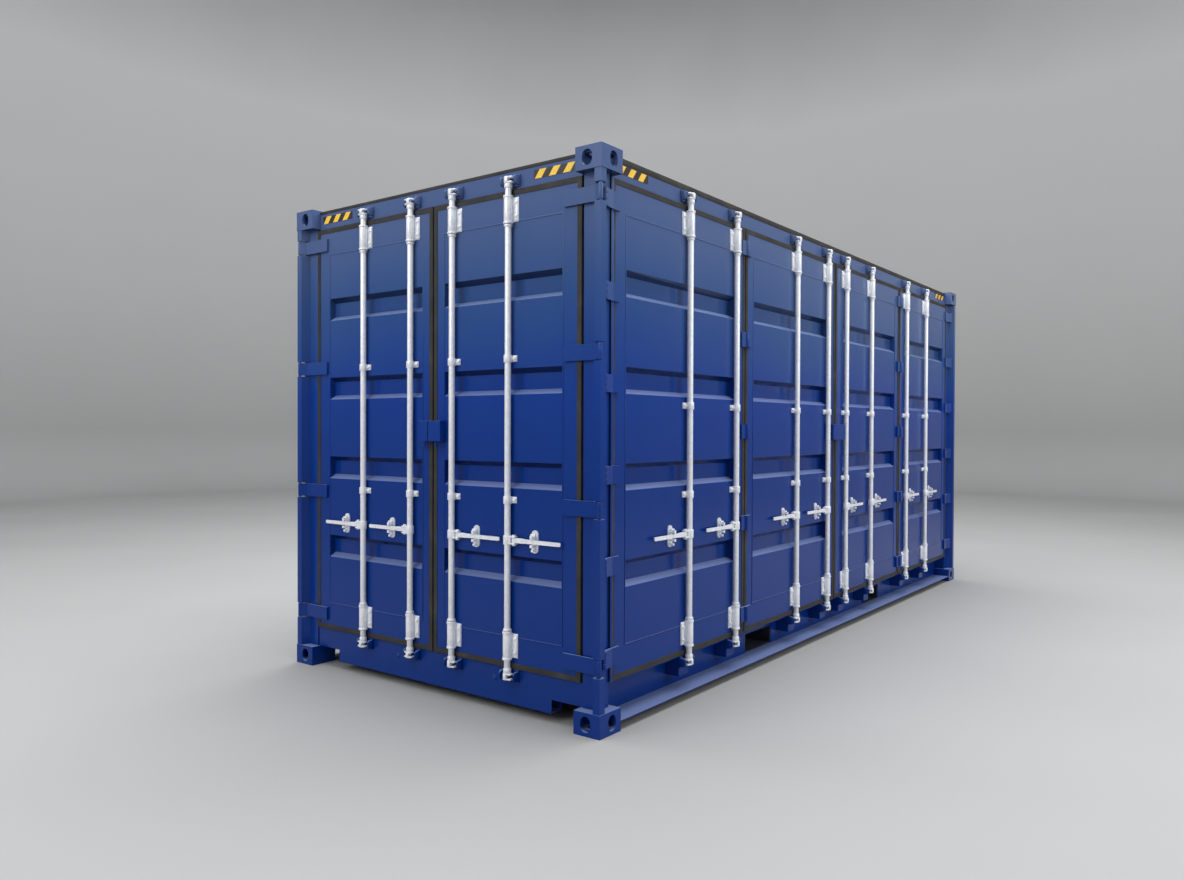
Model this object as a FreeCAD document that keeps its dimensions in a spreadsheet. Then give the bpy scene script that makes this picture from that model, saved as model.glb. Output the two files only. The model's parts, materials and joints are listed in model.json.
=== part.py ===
"""A 20 ft high-cube side-opening shipping container.

Millimetres, +Z up.  The origin is on the ground under the middle of the
container.  X runs along the length, with the two end doors at -X.  Y runs
across, with the four folding side doors at -Y.  A place on a door face is
given by how far it lies in from the end plane (deep) or the side plane (inset).
"""
import FreeCAD, Part
import os
import re
import Sketcher

Vector = FreeCAD.Vector
document = FreeCAD.newDocument("container")

# ---------------------------------------------------------------- sizes
SIZES = [
    # whole container
    ("length", 6058), ("width", 2438), ("height", 2896), ("roof_drop", 14),
    # corner castings
    ("casting_length", 178), ("casting_width", 162), ("casting_height", 118),
    ("casting_wall", 20), ("casting_plate", 29), ("casting_proud", 3),
    ("twistlock_slot", 124.5), ("twistlock_radius", 31.75),
    ("twistlock_end", 102.5), ("twistlock_side", 89.5),
    ("lashing_slot", 80), ("lashing_radius", 31),
    # corner posts
    ("nose", 45), ("flank", 21), ("post_depth", 148), ("post_wall", 8), ("recess", 56),
    # rails and sills
    ("rail_recess", 62), ("rail_depth", 88), ("rail_wall", 5), ("ground_gap", 45),
    ("door_bottom", 238), ("header_drop", 124), ("door_clear", 5), ("mouth_past", 20),
    ("sill_notch", 192), ("sill_notch_top", 118),
    ("web_recess", 149), ("web_sheet", 6), ("flange_sheet", 8),
    ("back_inset", 8), ("back_rail", 60), ("back_rail_bottom", 205), ("back_channel", 48),
    ("far_header", 80),
    # walls, roof and floor
    ("wall_sheet", 2), ("wall_set", 2), ("wall_wave", 36), ("wall_flat", 70), ("wall_slope", 68),
    ("roof_wave", 18), ("roof_flat", 90), ("roof_slope", 14),
    ("floor_thick", 28), ("floor_end_gap", 6), ("floor_side_gap", 2),
    ("beam_tall", 122), ("beam_wide", 45), ("beam_sheet", 4.5), ("beam_pitch", 300),
    ("beam_first", 60),
    # fork pockets
    ("pocket_centre", 1047), ("pocket_wide", 360), ("pocket_low", 59), ("pocket_tall", 110),
    ("pocket_sheet", 6), ("pocket_strap", 250),
    # door leaves
    ("leaf_recess", 50), ("leaf_thick", 50), ("seal_lap", 16), ("seal_front", 12),
    ("seal_proud", 3), ("seal_behind", 3), ("end_seal_edge", 156), ("meeting_gap", 10),
    ("leaf_rail", 152), ("outer_stile", 107), ("inner_stile", 70),
    ("panel_sheet", 2), ("band_first", 702), ("band_pitch", 495), ("band_tall", 138),
    ("band_slope", 26), ("band_deep", 40),
    # side leaves
    ("fold_line", 1449), ("fold_gap", 10), ("side_outer_stile", 110), ("side_fold_stile", 115),
    ("side_inner_stile", 95), ("side_meeting_stile", 134),
    # hinges of the end doors
    ("pin_inset", 15), ("pin_deep", 14), ("pin_radius", 7), ("pin_play", 0.06),
    ("knuckle_radius", 12), ("strap_tall", 80), ("strap_reach", 263), ("strap_thick", 12),
    ("strap_seat", 190), ("strap_root", 62), ("strap_heel", 50), ("hinge_clear", 6),
    ("pin_grip", 25), ("hinge_notch", 58), ("notch_beyond", 4),
    ("hinge_first", 340), ("hinge_pitch", 775),
    # hinges of the side doors
    ("side_pin_end", 75), ("side_pin_inset", 32), ("side_pin_radius", 13),
    ("side_strap_reach", 213),
    ("side_hinge_tall", 90), ("side_hinge_first", 370), ("side_hinge_pitch", 456),
    ("fold_hinge_first", 360), ("fold_hinge_pitch", 570), ("fold_hinge_half", 68),
    ("fold_hinge_front", 20), ("foot_clear", 3),
    # lock bars
    ("bar_radius", 17), ("bar_clear", 3), ("bar_play", 0.5), ("bar_bottom", 185),
    ("bar_drop", 61), ("end_bar_inner", 170.5), ("end_bar_outer", 589.5),
    ("cam_radius", 22), ("cam_tall", 50), ("cam_lug", 30), ("cam_lug_wide", 24),
    ("bearing_half", 25), ("bearing_wall", 4), ("bearing_tall", 150),
    ("bearing_bottom", 290), ("bearing_drop", 185), ("flange_half", 58), ("flange_tall", 110),
    ("flange_thick", 6), ("guide_tall", 40), ("guide_half", 23), ("guide_flange", 50),
    ("end_guide_low", 1115), ("end_guide_high", 1860),
    ("side_guide_low", 1126), ("side_guide_high", 1624),
    ("side_bar_meeting", 177), ("side_bar_second", 717), ("side_bar_third", 1596),
    ("side_bar_outer", 2148),
    # handles, catches and keepers
    ("handle_height", 925), ("handle_length", 360), ("handle_tall", 22), ("handle_thick", 10),
    ("hub_length", 58), ("hub_tall", 44), ("hub_thick", 26), ("blade_root", 10),
    ("catch_place", 175), ("catch_tall", 120), ("catch_wide", 40), ("catch_gap", 6),
    ("catch_front", 14), ("catch_cheek", 9),
    ("keeper_half", 58), ("keeper_horn", 14), ("keeper_front", 8), ("keeper_bridge", 10),
    ("keeper_over", 6), ("keeper_reach", 52), ("keeper_box_half", 50), ("keeper_box_low", 120),
    # lock boxes at the meeting lines
    ("box_bottom", 1440), ("box_tall", 115), ("box_front", 5), ("box_sheet", 5),
    ("box_left", 81), ("box_right", 99), ("box_gap", 6),
    ("side_box_left", 125), ("side_box_right", 105),
]

sizes = document.addObject("Spreadsheet::Sheet", "sizes")
for row, (alias, value) in enumerate(SIZES, start=1):
    sizes.set("A%d" % row, alias)
    sizes.set("B%d" % row, str(value))
    sizes.setAlias("B%d" % row, alias)
document.recompute()
ALIASES = {alias for alias, value in SIZES}

# Places that follow from the sizes.
WORKED_OUT = {
    "door_top": "(height - header_drop)",
    "bar_top": "(height - bar_drop)",
    "bar_recess": "(leaf_recess - seal_proud - bar_clear - bar_radius)",
    "bearing_top": "(door_top - bearing_drop)",
    "bearing_front": "(bar_recess - bar_radius - bearing_wall)",
}


# ---------------------------------------------------------------- helpers
def bound(text):
    """The text as an expression on the sheet: a worked-out place is written out and
    every size name gets its sheet."""
    def written(match):
        word = match.group()
        if word in WORKED_OUT:
            return bound(WORKED_OUT[word])
        return "sizes." + word if word in ALIASES else word

    return re.sub(r"[a-z_]+", written, str(text))


def worth(text):
    """The number that an expression gives now."""
    return float(sizes.evalExpression(bound(text)))


def place(item, x="0", y="0", z="0", turn=0):
    """Put an item at a bound place, turned about +Z."""
    item.Placement.Rotation = FreeCAD.Rotation(Vector(0, 0, 1), turn)
    for axis, value in zip("xyz", (x, y, z)):
        item.setExpression("Placement.Base." + axis, bound(value))
    return item


def box(name, x_span, y_span, z_span):
    """A block between two bound places on each axis."""
    item = document.addObject("Part::Box", name)
    for side, (low, high) in zip(("Length", "Width", "Height"), (x_span, y_span, z_span)):
        item.setExpression(side, bound("(%s) - (%s)" % (high, low)))
    return place(item, x_span[0], y_span[0], z_span[0])


def rod(name, x, y, radius, z_span):
    """An upright cylinder."""
    item = document.addObject("Part::Cylinder", name)
    item.setExpression("Radius", bound(radius))
    item.setExpression("Height", bound("(%s) - (%s)" % (z_span[1], z_span[0])))
    return place(item, x, y, z_span[0])


def lying_rod(name, start, radius, length, axis):
    """A cylinder along +X or +Y from a bound start point."""
    item = document.addObject("Part::Cylinder", name)
    item.setExpression("Radius", bound(radius))
    item.setExpression("Height", bound(length))
    place(item, *start)
    turn_axis = Vector(0, 1, 0) if axis == "x" else Vector(-1, 0, 0)
    item.Placement.Rotation = FreeCAD.Rotation(turn_axis, 90)
    return item


def cut(name, base, tools):
    """The base with every tool taken out of it."""
    tool = tools[0] if len(tools) == 1 else fuse(name + "_tools", tools)
    item = document.addObject("Part::Cut", name)
    item.Base = base
    item.Tool = tool
    return item


def fuse(name, items):
    """Several shapes made one."""
    item = document.addObject("Part::MultiFuse", name)
    item.Shapes = items
    return item


def group(name, items):
    """Several solids kept apart in one object."""
    item = document.addObject("Part::Compound", name)
    item.Links = items
    return item


def placed(name, item, x="0", y="0", z="0", turn=0):
    """A copy of an item at another place."""
    return place(group(name, [item]), x, y, z, turn)


def mirrored(name, item, axis, at="0"):
    """The mirror image of an item across the plane axis = at."""
    copy = document.addObject("Part::Mirroring", name)
    copy.Source = item
    copy.Normal = Vector(*[1 if axis == letter else 0 for letter in "xyz"])
    copy.setExpression("Base." + axis, bound(at))
    return copy


PLANES = {"z": "XY_Plane", "y": "XZ_Plane", "x": "YZ_Plane"}


def outline(body, name, axis, points):
    """A closed outline on the body's own plane, each corner bound to the sheet."""
    sketch = body.newObject("Sketcher::SketchObject", name)
    plane = [item for item in body.Origin.OriginFeatures if item.Role == PLANES[axis]][0]
    sketch.AttachmentSupport = [(plane, "")]
    sketch.MapMode = "FlatFace"
    flat = [Vector(worth(first), worth(second), 0) for first, second in points]
    count = len(points)
    lines = [Part.LineSegment(flat[index], flat[(index + 1) % count]) for index in range(count)]
    sketch.addGeometry(lines)
    ties = [Sketcher.Constraint("Coincident", index, 2, (index + 1) % count, 1)
            for index in range(count)]
    for index, corner in enumerate(flat):
        ties.append(Sketcher.Constraint("DistanceX", -1, 1, index, 1, corner.x))
        ties.append(Sketcher.Constraint("DistanceY", -1, 1, index, 1, corner.y))
    sketch.addConstraint(ties)
    for index, (first, second) in enumerate(points):
        sketch.setExpression("Constraints[%d]" % (count + 2 * index), bound(first))
        sketch.setExpression("Constraints[%d]" % (count + 2 * index + 1), bound(second))
    return sketch


def prism(name, axis, points, span):
    """A body with a drawn outline, padded along an axis between two bound places."""
    body = document.addObject("PartDesign::Body", name)
    sketch = outline(body, name + "_outline", axis, points)
    pad = body.newObject("PartDesign::Pad", name + "_pad")
    pad.Profile = sketch
    pad.setExpression("Length", bound("(%s) - (%s)" % (span[1], span[0])))
    pad.Reversed = axis == "y"
    starts = {letter: span[0] if letter == axis else "0" for letter in "xyz"}
    return place(body, **starts)


def slot_cutter(name, centre, half_length, radius, along, through, depth):
    """A round-ended slot, long way along one axis, cut through along another.

    centre is the middle of its near face; depth runs in the + direction."""
    parts = []
    lows = dict(zip("xyz", centre))
    highs = dict(zip("xyz", centre))
    across = [letter for letter in "xyz" if letter not in (along, through)][0]
    straight = "(%s - %s)" % (half_length, radius)
    lows[along] = "%s - %s" % (lows[along], straight)
    highs[along] = "%s + %s" % (highs[along], straight)
    lows[across] = "%s - %s" % (lows[across], radius)
    highs[across] = "%s + %s" % (highs[across], radius)
    highs[through] = "%s + %s" % (highs[through], depth)
    parts.append(box(name + "_middle", *[(lows[letter], highs[letter]) for letter in "xyz"]))
    for number, sign in enumerate("-+"):
        end = dict(zip("xyz", centre))
        end[along] = "%s %s %s" % (end[along], sign, straight)
        label = "%s_end_%d" % (name, number)
        if through == "z":
            parts.append(rod(label, end["x"], end["y"], radius,
                             (end["z"], "%s + %s" % (end["z"], depth))))
        else:
            parts.append(lying_rod(label, (end["x"], end["y"], end["z"]), radius, depth, through))
    return fuse(name, parts)


def deep(distance):
    """X of a place this far in from the end-door plane."""
    return "-length / 2 + (%s)" % distance


def inset(distance):
    """Y of a place this far in from the side-door plane."""
    return "-width / 2 + (%s)" % distance


def far(distance):
    """X of a place this far in from the closed end."""
    return "length / 2 - (%s)" % distance


def back(distance):
    """Y of a place this far in from the closed side."""
    return "width / 2 - (%s)" % distance


NODES = []


def node(name, item):
    """Name a finished sub-part; its label is its file name."""
    item.Label = name
    NODES.append(item)
    return item


def stacked(first, pitch, tall):
    """The heights of like pieces stacked up the doors, as many as fit below the top."""
    count = 1 + int(worth("door_top - %s - %s" % (first, tall)) // worth(pitch))
    return ["%s + %d * %s" % (first, row, pitch) for row in range(count)]


ROOF = "height - roof_drop"
POST_SPAN = ("casting_height", "height - casting_height")
HINGES = stacked("hinge_first", "hinge_pitch", "strap_tall")


# ---------------------------------------------------------------- corner castings
def make_castings():
    """Eight cast corner fittings, each a box with a slot in three faces."""
    shell = box("casting_block", (deep(0), deep("casting_length")),
                (inset(0), inset("casting_width")), ("0", "casting_height"))
    hollow = box("casting_hollow",
                 (deep("casting_wall"), deep("casting_length - casting_wall")),
                 (inset("casting_wall"), inset("casting_width - casting_wall")),
                 ("casting_plate", "casting_height - casting_wall"))
    bottom_slot = slot_cutter("casting_bottom_slot",
                              (deep("twistlock_end"), inset("twistlock_side"), "-1"),
                              "twistlock_slot / 2", "twistlock_radius", "x", "z",
                              "casting_plate + 2")
    end_slot = slot_cutter("casting_end_slot",
                           (deep("-1"), inset("twistlock_side"), "casting_height / 2"),
                           "lashing_slot / 2", "lashing_radius", "z", "x", "casting_wall + 2")
    side_slot = slot_cutter("casting_side_slot",
                            (deep("twistlock_end"), inset("-1"), "casting_height / 2"),
                            "lashing_slot / 2", "lashing_radius", "z", "y", "casting_wall + 2")
    first = cut("casting_first", shell, [hollow, bottom_slot, end_slot, side_slot])
    second = mirrored("casting_second", first, "y")
    third = mirrored("casting_third", first, "x")
    fourth = mirrored("casting_fourth", second, "x")
    bottom = group("bottom_castings", [first, second, third, fourth])
    top = group("top_castings", [mirrored("casting_top_%d" % number, item, "z", "height / 2")
                                 for number, item in enumerate((first, second, third, fourth))])
    node("bottom_castings", bottom)
    node("top_castings", top)


def casting_rooms(name, level, far_ends):
    """Plain blocks where castings sit: at one level, at the four corners or the far two."""
    spans = {"bottom": ("0", "casting_height"), "top": ("height - casting_height", "height")}
    first = box(name + "_back", (far("casting_length"), far(0)),
                (back("casting_width"), back(0)), spans[level])
    rooms = [first, mirrored(name + "_front", first, "y")]
    if not far_ends:
        rooms += [mirrored("%s_near_%d" % (name, number), room, "x")
                  for number, room in enumerate(list(rooms))]
    return rooms


# ---------------------------------------------------------------- corner posts
def hinge_cutters(name):
    """The notches and pin holes of the four end-door hinges at the side-door corner."""
    tools = []
    half = "strap_tall / 2 + hinge_clear"
    for row, height in enumerate(HINGES):
        tools.append(box("%s_notch_%d" % (name, row), (deep("-1"), deep("hinge_notch")),
                         (inset("-1"), inset("nose + flank + notch_beyond")),
                         ("%s - (%s)" % (height, half), "%s + %s" % (height, half))))
        tools.append(rod("%s_hole_%d" % (name, row), deep("pin_deep"), inset("pin_inset"),
                         "pin_radius", ("%s - (%s) - pin_grip" % (height, half),
                                        "%s + %s + pin_grip" % (height, half))))
    return fuse(name, tools)


def make_posts():
    """Four corner posts; the door posts have a nose that carries the hinge pins."""
    proud = "casting_proud"
    wide = "nose + flank"
    shared = [(proud, proud), (proud, "nose"), ("recess", wide), ("recess", "post_depth"),
              ("post_depth", "post_depth"), ("post_depth", "recess"), (wide, "recess"),
              ("nose", proud)]
    solid = prism("post_shared", "z", [(deep(x), inset(y)) for x, y in shared], POST_SPAN)
    hollow = box("post_shared_hollow",
                 (deep("recess + post_wall"), deep("post_depth - post_wall")),
                 (inset("recess + post_wall"), inset("post_depth - post_wall")), POST_SPAN)
    notches = hinge_cutters("shared_hinges")
    node("corner_post_shared", cut("shared_post", solid, [hollow, notches]))

    one_face = [(proud, proud), (proud, "nose"), ("recess", wide), ("recess", "post_depth"),
                ("post_depth", "post_depth"), ("post_depth", proud)]
    solid = prism("post_end", "z", [(deep(x), back(y)) for x, y in one_face], POST_SPAN)
    hollow = box("post_end_hollow",
                 (deep("recess + post_wall"), deep("post_depth - post_wall")),
                 (back("post_depth - post_wall"), back("casting_proud + post_wall")), POST_SPAN)
    notches = mirrored("end_hinges", notches, "y")
    node("corner_post_end_doors", cut("end_post", solid, [hollow, notches]))

    solid = prism("post_side", "z", [(far(x), inset(y)) for y, x in one_face], POST_SPAN)
    hollow = box("post_side_hollow",
                 (far("post_depth - post_wall"), far("casting_proud + post_wall")),
                 (inset("recess + post_wall"), inset("post_depth - post_wall")), POST_SPAN)
    node("corner_post_side_doors", cut("side_post", solid, [hollow]))

    outer = box("post_back_block", (far("post_depth"), far(proud)),
                (back("post_depth"), back(proud)), POST_SPAN)
    hollow = box("post_back_hollow", (far("post_depth - post_wall"), far(proud + " + post_wall")),
                 (back("post_depth - post_wall"), back(proud + " + post_wall")), POST_SPAN)
    node("corner_post_back", cut("back_post", outer, [hollow]))


# ---------------------------------------------------------------- headers, sills and rails
def tube(name, x_span, y_span, z_span, axis):
    """A square tube, open at its ends along X or Y."""
    block = box(name + "_block", x_span, y_span, z_span)
    spans = []
    for letter, (low, high) in zip("xyz", (x_span, y_span, z_span)):
        if letter == axis:
            spans.append((low, high))
        else:
            spans.append(("%s + rail_wall" % low, "(%s) - rail_wall" % high))
    return cut(name, block, [box(name + "_bore", *spans)])


def pocket_cutters(name, y_span):
    """The two fork-pocket openings through a rail, above its bottom flange."""
    half = "(pocket_wide / 2 + pocket_sheet)"
    first = box(name + "_left", ("-pocket_centre - " + half, "-pocket_centre + " + half), y_span,
                ("pocket_low - pocket_sheet", "pocket_low + pocket_tall + pocket_sheet"))
    return fuse(name, [first, mirrored(name + "_right", first, "x")])


def make_door_frames():
    """Header and sill of the end doors and of the side doors."""
    across = (inset("casting_width"), back("casting_width"))
    along = (deep("casting_length"), far("casting_length"))
    thick = (deep("rail_recess"), deep("rail_recess + rail_depth"))
    node("end_door_header", tube("end_header", thick, across, ("door_top", ROOF), "y"))
    between_posts = (inset("post_depth"), back("post_depth"))
    sill = tube("end_sill_tube", thick, between_posts, ("ground_gap", "door_bottom"), "y")
    notch = box("end_sill_notch", (deep(0), deep("post_depth + mouth_past")),
                (inset("casting_width - 1"), inset("casting_width + sill_notch")),
                ("ground_gap - 1", "sill_notch_top"))
    notches = [notch, mirrored("end_sill_notch_far", notch, "y")]
    rooms = casting_rooms("end_sill_corner", "bottom", False)
    node("end_door_sill", cut("end_sill", sill, notches + rooms))
    thick = (inset("rail_recess"), inset("rail_recess + rail_depth"))
    node("side_door_header", tube("side_header", along, thick, ("door_top", ROOF), "x"))
    front = "casting_proud"
    web_back = "web_recess + web_sheet"
    low = "ground_gap"
    points = [(front, low), (web_back, low), (web_back, "door_bottom"),
              ("rail_recess", "door_bottom"), ("rail_recess", "door_bottom - flange_sheet"),
              ("web_recess", "door_bottom - flange_sheet"), ("web_recess", low + " + web_sheet"),
              (front, low + " + web_sheet")]
    reach = (deep("rail_recess + rail_depth"), far("post_depth"))
    solid = prism("side_sill_profile", "x", [(inset(y), z) for y, z in points], reach)
    mouths = pocket_cutters("side_sill_mouths", (inset(0), inset("web_recess + mouth_past")))
    rooms = casting_rooms("side_sill_corner", "bottom", False)
    node("side_door_sill", cut("side_sill", solid, [mouths] + rooms))


def make_closed_rails():
    """Rails of the closed side and of the closed end."""
    along = (deep("casting_length"), far("casting_length"))
    across = (inset("casting_width"), back("casting_width"))
    edge = "back_inset"
    rail = (back(edge + " + back_rail"), back(edge))
    node("back_top_rail", tube("back_top", along, rail, (ROOF + " - back_rail", ROOF), "x"))
    low = "ground_gap"
    high = "back_rail_bottom"
    inner = edge + " + back_channel"
    points = [(edge, low), (inner, low), (inner, low + " + rail_wall"),
              (edge + " + rail_wall", low + " + rail_wall"),
              (edge + " + rail_wall", high + " - rail_wall"), (inner, high + " - rail_wall"),
              (inner, high), (edge, high)]
    between_posts = (deep("post_depth"), far("post_depth"))
    solid = prism("back_bottom_profile", "x", [(back(y), z) for y, z in points], between_posts)
    mouths = pocket_cutters("back_mouths", (back("back_channel + mouth_past"), back(0)))
    rooms = casting_rooms("back_corner", "bottom", False)
    node("back_bottom_rail", cut("back_bottom", solid, [mouths] + rooms))
    rail = (far(edge + " + back_rail"), far(edge))
    node("far_end_header", tube("far_header_tube", rail, across,
                                (ROOF + " - far_header", ROOF), "y"))
    between_posts = (inset("post_depth"), back("post_depth"))
    sill = tube("far_sill_tube", rail, between_posts, (low, high), "y")
    node("far_end_sill", cut("far_sill", sill, casting_rooms("far_corner", "bottom", True)))


# ---------------------------------------------------------------- walls, roof and floor
def waved_sheet(name, pad_axis, wave_axis, run, side_of, low, depth, slope, flat, span):
    """A sheet with trapezoid waves: one wave drawn and padded, repeated along a run,
    with a plain strip left at each end.

    side_of turns a distance in from the outer face into a place; low is how far in
    the outer flats lie, depth how deep the waves are."""
    start, end = run
    pitch = "(2 * %s + 2 * %s)" % (slope, flat)
    count = int(worth("(%s) - (%s)" % (end, start)) // worth(pitch))
    margin = "(((%s) - (%s) - %d * %s) / 2)" % (end, start, count, pitch)
    first = "%s + %s" % (start, margin)
    high = "%s + %s" % (low, depth)
    shift = "(wall_sheet * tan(atan2(%s; %s) / 2))" % (depth, slope)
    steps = [("0", low, "0"), ("0.5 * %s" % flat, low, "-" + shift),
             ("0.5 * %s + %s" % (flat, slope), high, "-" + shift),
             ("1.5 * %s + %s" % (flat, slope), high, shift),
             ("1.5 * %s + 2 * %s" % (flat, slope), low, shift), (pitch, low, "0")]
    outer = [("%s + %s" % (first, step), level) for step, level, slip in steps]
    inner = [("%s + %s + %s" % (first, step, slip), "%s + wall_sheet" % level)
             for step, level, slip in steps]
    points = [(along, side_of(level)) for along, level in outer + inner[::-1]]
    if wave_axis == "y":
        points = [(across, along) for along, across in points]
    body = prism(name + "_wave", pad_axis, points, span)
    repeat = body.newObject("PartDesign::LinearPattern", name + "_waves")
    repeat.Originals = [body.Tip]
    role = {"x": "X_Axis", "y": "Y_Axis"}[wave_axis]
    line = [item for item in body.Origin.OriginFeatures if item.Role == role][0]
    repeat.Direction = (line, [""])
    repeat.setExpression("Length", bound("%d * %s" % (count - 1, pitch)))
    repeat.Occurrences = count
    body.Tip = repeat
    strips = []
    thick = [side_of(low), side_of(low + " + wall_sheet")]
    if worth(thick[0]) > worth(thick[1]):
        thick.reverse()
    for label, strip in (("start", (start, first)),
                         ("end", ("%s - %s" % (end, margin), end))):
        spans = {pad_axis: span, wave_axis: strip}
        spans.update({letter: tuple(thick) for letter in "xyz" if letter not in spans})
        strips.append(box("%s_%s" % (name, label), spans["x"], spans["y"], spans["z"]))
    return fuse(name, [body] + strips)


def make_walls():
    """Corrugated back wall and end wall, stamped roof and its flat plates at the ends."""
    low = "back_inset + wall_set"
    run = (deep("post_depth"), far("post_depth"))
    span = ("back_rail_bottom", ROOF + " - back_rail")
    sheet = waved_sheet("back_sheet", "z", "x", run, back, low, "wall_wave", "wall_slope",
                        "wall_flat", span)
    node("back_wall", cut("back_cut", sheet, casting_rooms("back_wall_corner", "top", False)))
    run = (inset("post_depth"), back("post_depth"))
    span = ("back_rail_bottom", ROOF + " - far_header")
    sheet = waved_sheet("far_sheet", "z", "y", run, far, low, "wall_wave", "wall_slope",
                        "wall_flat", span)
    node("end_wall", cut("far_cut", sheet, casting_rooms("end_wall_corner", "top", True)))
    run = (deep("casting_length"), far("casting_length"))
    span = (inset("rail_recess + rail_depth"), back("back_inset + back_rail"))
    node("roof_panel", waved_sheet("roof_sheet", "y", "x", run,
                                   lambda level: ROOF + " - (%s)" % level,
                                   "0", "roof_wave", "roof_slope", "roof_flat", span))
    across = (inset("casting_width"), back("casting_width"))
    sheet = (ROOF + " - wall_sheet", ROOF)
    node("roof_end_plates", group("end_plates", [
        box("end_plate_near", (deep("rail_recess + rail_depth"), deep("casting_length")),
            across, sheet),
        box("end_plate_far", (far("casting_length"), far("back_inset + back_rail")),
            across, sheet)]))


def make_floor():
    """Plywood floor on channel cross-members, and the fork pockets' tubes."""
    floor_low = "back_rail_bottom"
    floor = box("floor",
                (deep("rail_recess + rail_depth"),
                 far("back_inset + back_channel + floor_end_gap")),
                (inset("web_recess + web_sheet"),
                 back("back_inset + back_channel + floor_side_gap")),
                (floor_low, floor_low + " + floor_thick"))
    post = box("floor_post_room", (far("post_depth"), far(0)), (back("post_depth"), back(0)),
               (floor_low, floor_low + " + floor_thick"))
    node("floor_boards", cut("floor_cut", floor, [post]))
    beams = []
    across = (inset("web_recess + web_sheet"), back("back_inset + back_channel"))

    def beam(name, x, low):
        """One channel, open towards +X."""
        points = [("0", low), ("beam_wide", low), ("beam_wide", low + " + beam_sheet"),
                  ("beam_sheet", low + " + beam_sheet"), ("beam_sheet", floor_low + " - beam_sheet"),
                  ("beam_wide", floor_low + " - beam_sheet"), ("beam_wide", floor_low),
                  ("0", floor_low)]
        points = [("%s + %s" % (x, dx), z) for dx, z in points]
        return prism(name, "y", points, across)

    full = floor_low + " - beam_tall"
    pocket_edge = "(pocket_centre + pocket_wide / 2 + pocket_sheet)"
    reach = worth("length / 2 - back_inset - back_rail - beam_wide - %s" % pocket_edge)
    outer = int(reach // worth("beam_pitch"))
    inner_reach = worth("pocket_centre - pocket_wide / 2 - pocket_sheet - beam_wide")
    inner = int(inner_reach // worth("beam_pitch"))
    for number in range(-inner, inner + 1):
        beams.append(beam("beam_middle_%d" % (number + inner), "%d * beam_pitch" % number, full))
    for number in range(outer):
        step = "%s + beam_first + %d * beam_pitch" % (pocket_edge, number)
        beams.append(beam("beam_far_%d" % number, step, full))
        beams.append(beam("beam_near_%d" % number, "-(%s) - beam_wide" % step, full))
    shallow = "pocket_low + pocket_tall + pocket_sheet"
    for number, sign in enumerate("-+"):
        beams.append(beam("beam_pocket_far_%d" % number,
                          "pocket_centre %s pocket_wide / 4 - beam_wide / 2" % sign, shallow))
        beams.append(beam("beam_pocket_near_%d" % number,
                          "-pocket_centre %s pocket_wide / 4 - beam_wide / 2" % sign, shallow))
    node("cross_members", group("beams", beams))

    half = "pocket_wide / 2"
    low = "pocket_low"
    high = "pocket_low + pocket_tall"
    y_span = (inset("web_recess + web_sheet"), back("back_inset + rail_wall"))
    block = box("pocket_block",
                ("pocket_centre - %s - pocket_sheet" % half,
                 "pocket_centre + %s + pocket_sheet" % half),
                y_span, (low + " - pocket_sheet", high + " + pocket_sheet"))
    bore = box("pocket_bore", ("pocket_centre - " + half, "pocket_centre + " + half), y_span,
               (low, high))
    gap = box("pocket_gap", ("pocket_centre - " + half, "pocket_centre + " + half),
              (inset("web_recess + pocket_strap"), back("back_inset + pocket_strap")),
              (low + " - pocket_sheet - 1", high))
    first = cut("pocket_tube", block, [bore, gap])
    node("fork_pockets", group("pockets", [first, mirrored("pocket_tube_near", first, "x")]))


# ---------------------------------------------------------------- door leaves
def leaf_panel(to_world):
    """The outline of a leaf's folded panel: level bands pressed into a flat sheet.

    to_world turns a distance in from the door plane and a height into a point."""
    front = "leaf_recess"
    deep_in = "leaf_recess + band_deep"
    shift = "(panel_sheet * tan(atan2(band_deep; band_slope) / 2))"
    low = "door_bottom + door_clear + seal_lap + leaf_rail"
    high = "door_top - door_clear - seal_lap - leaf_rail"
    face = [(front, low)]
    rear = [(front + " + panel_sheet", low)]
    count = 1 + int(worth("%s - band_first - band_tall" % high) // worth("band_pitch"))
    for number in range(count):
        base = "band_first + %d * band_pitch" % number
        steps = [("0", front, "-"), ("band_slope", deep_in, "-"),
                 ("band_tall - band_slope", deep_in, "+"), ("band_tall", front, "+")]
        for step, level, sign in steps:
            face.append((level, "%s + %s" % (base, step)))
            rear.append(("%s + panel_sheet" % level, "%s + %s %s %s" % (base, step, sign, shift)))
    face.append((front, high))
    rear.append((front + " + panel_sheet", high))
    return [to_world(level, height) for level, height in face + rear[::-1]]


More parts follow.
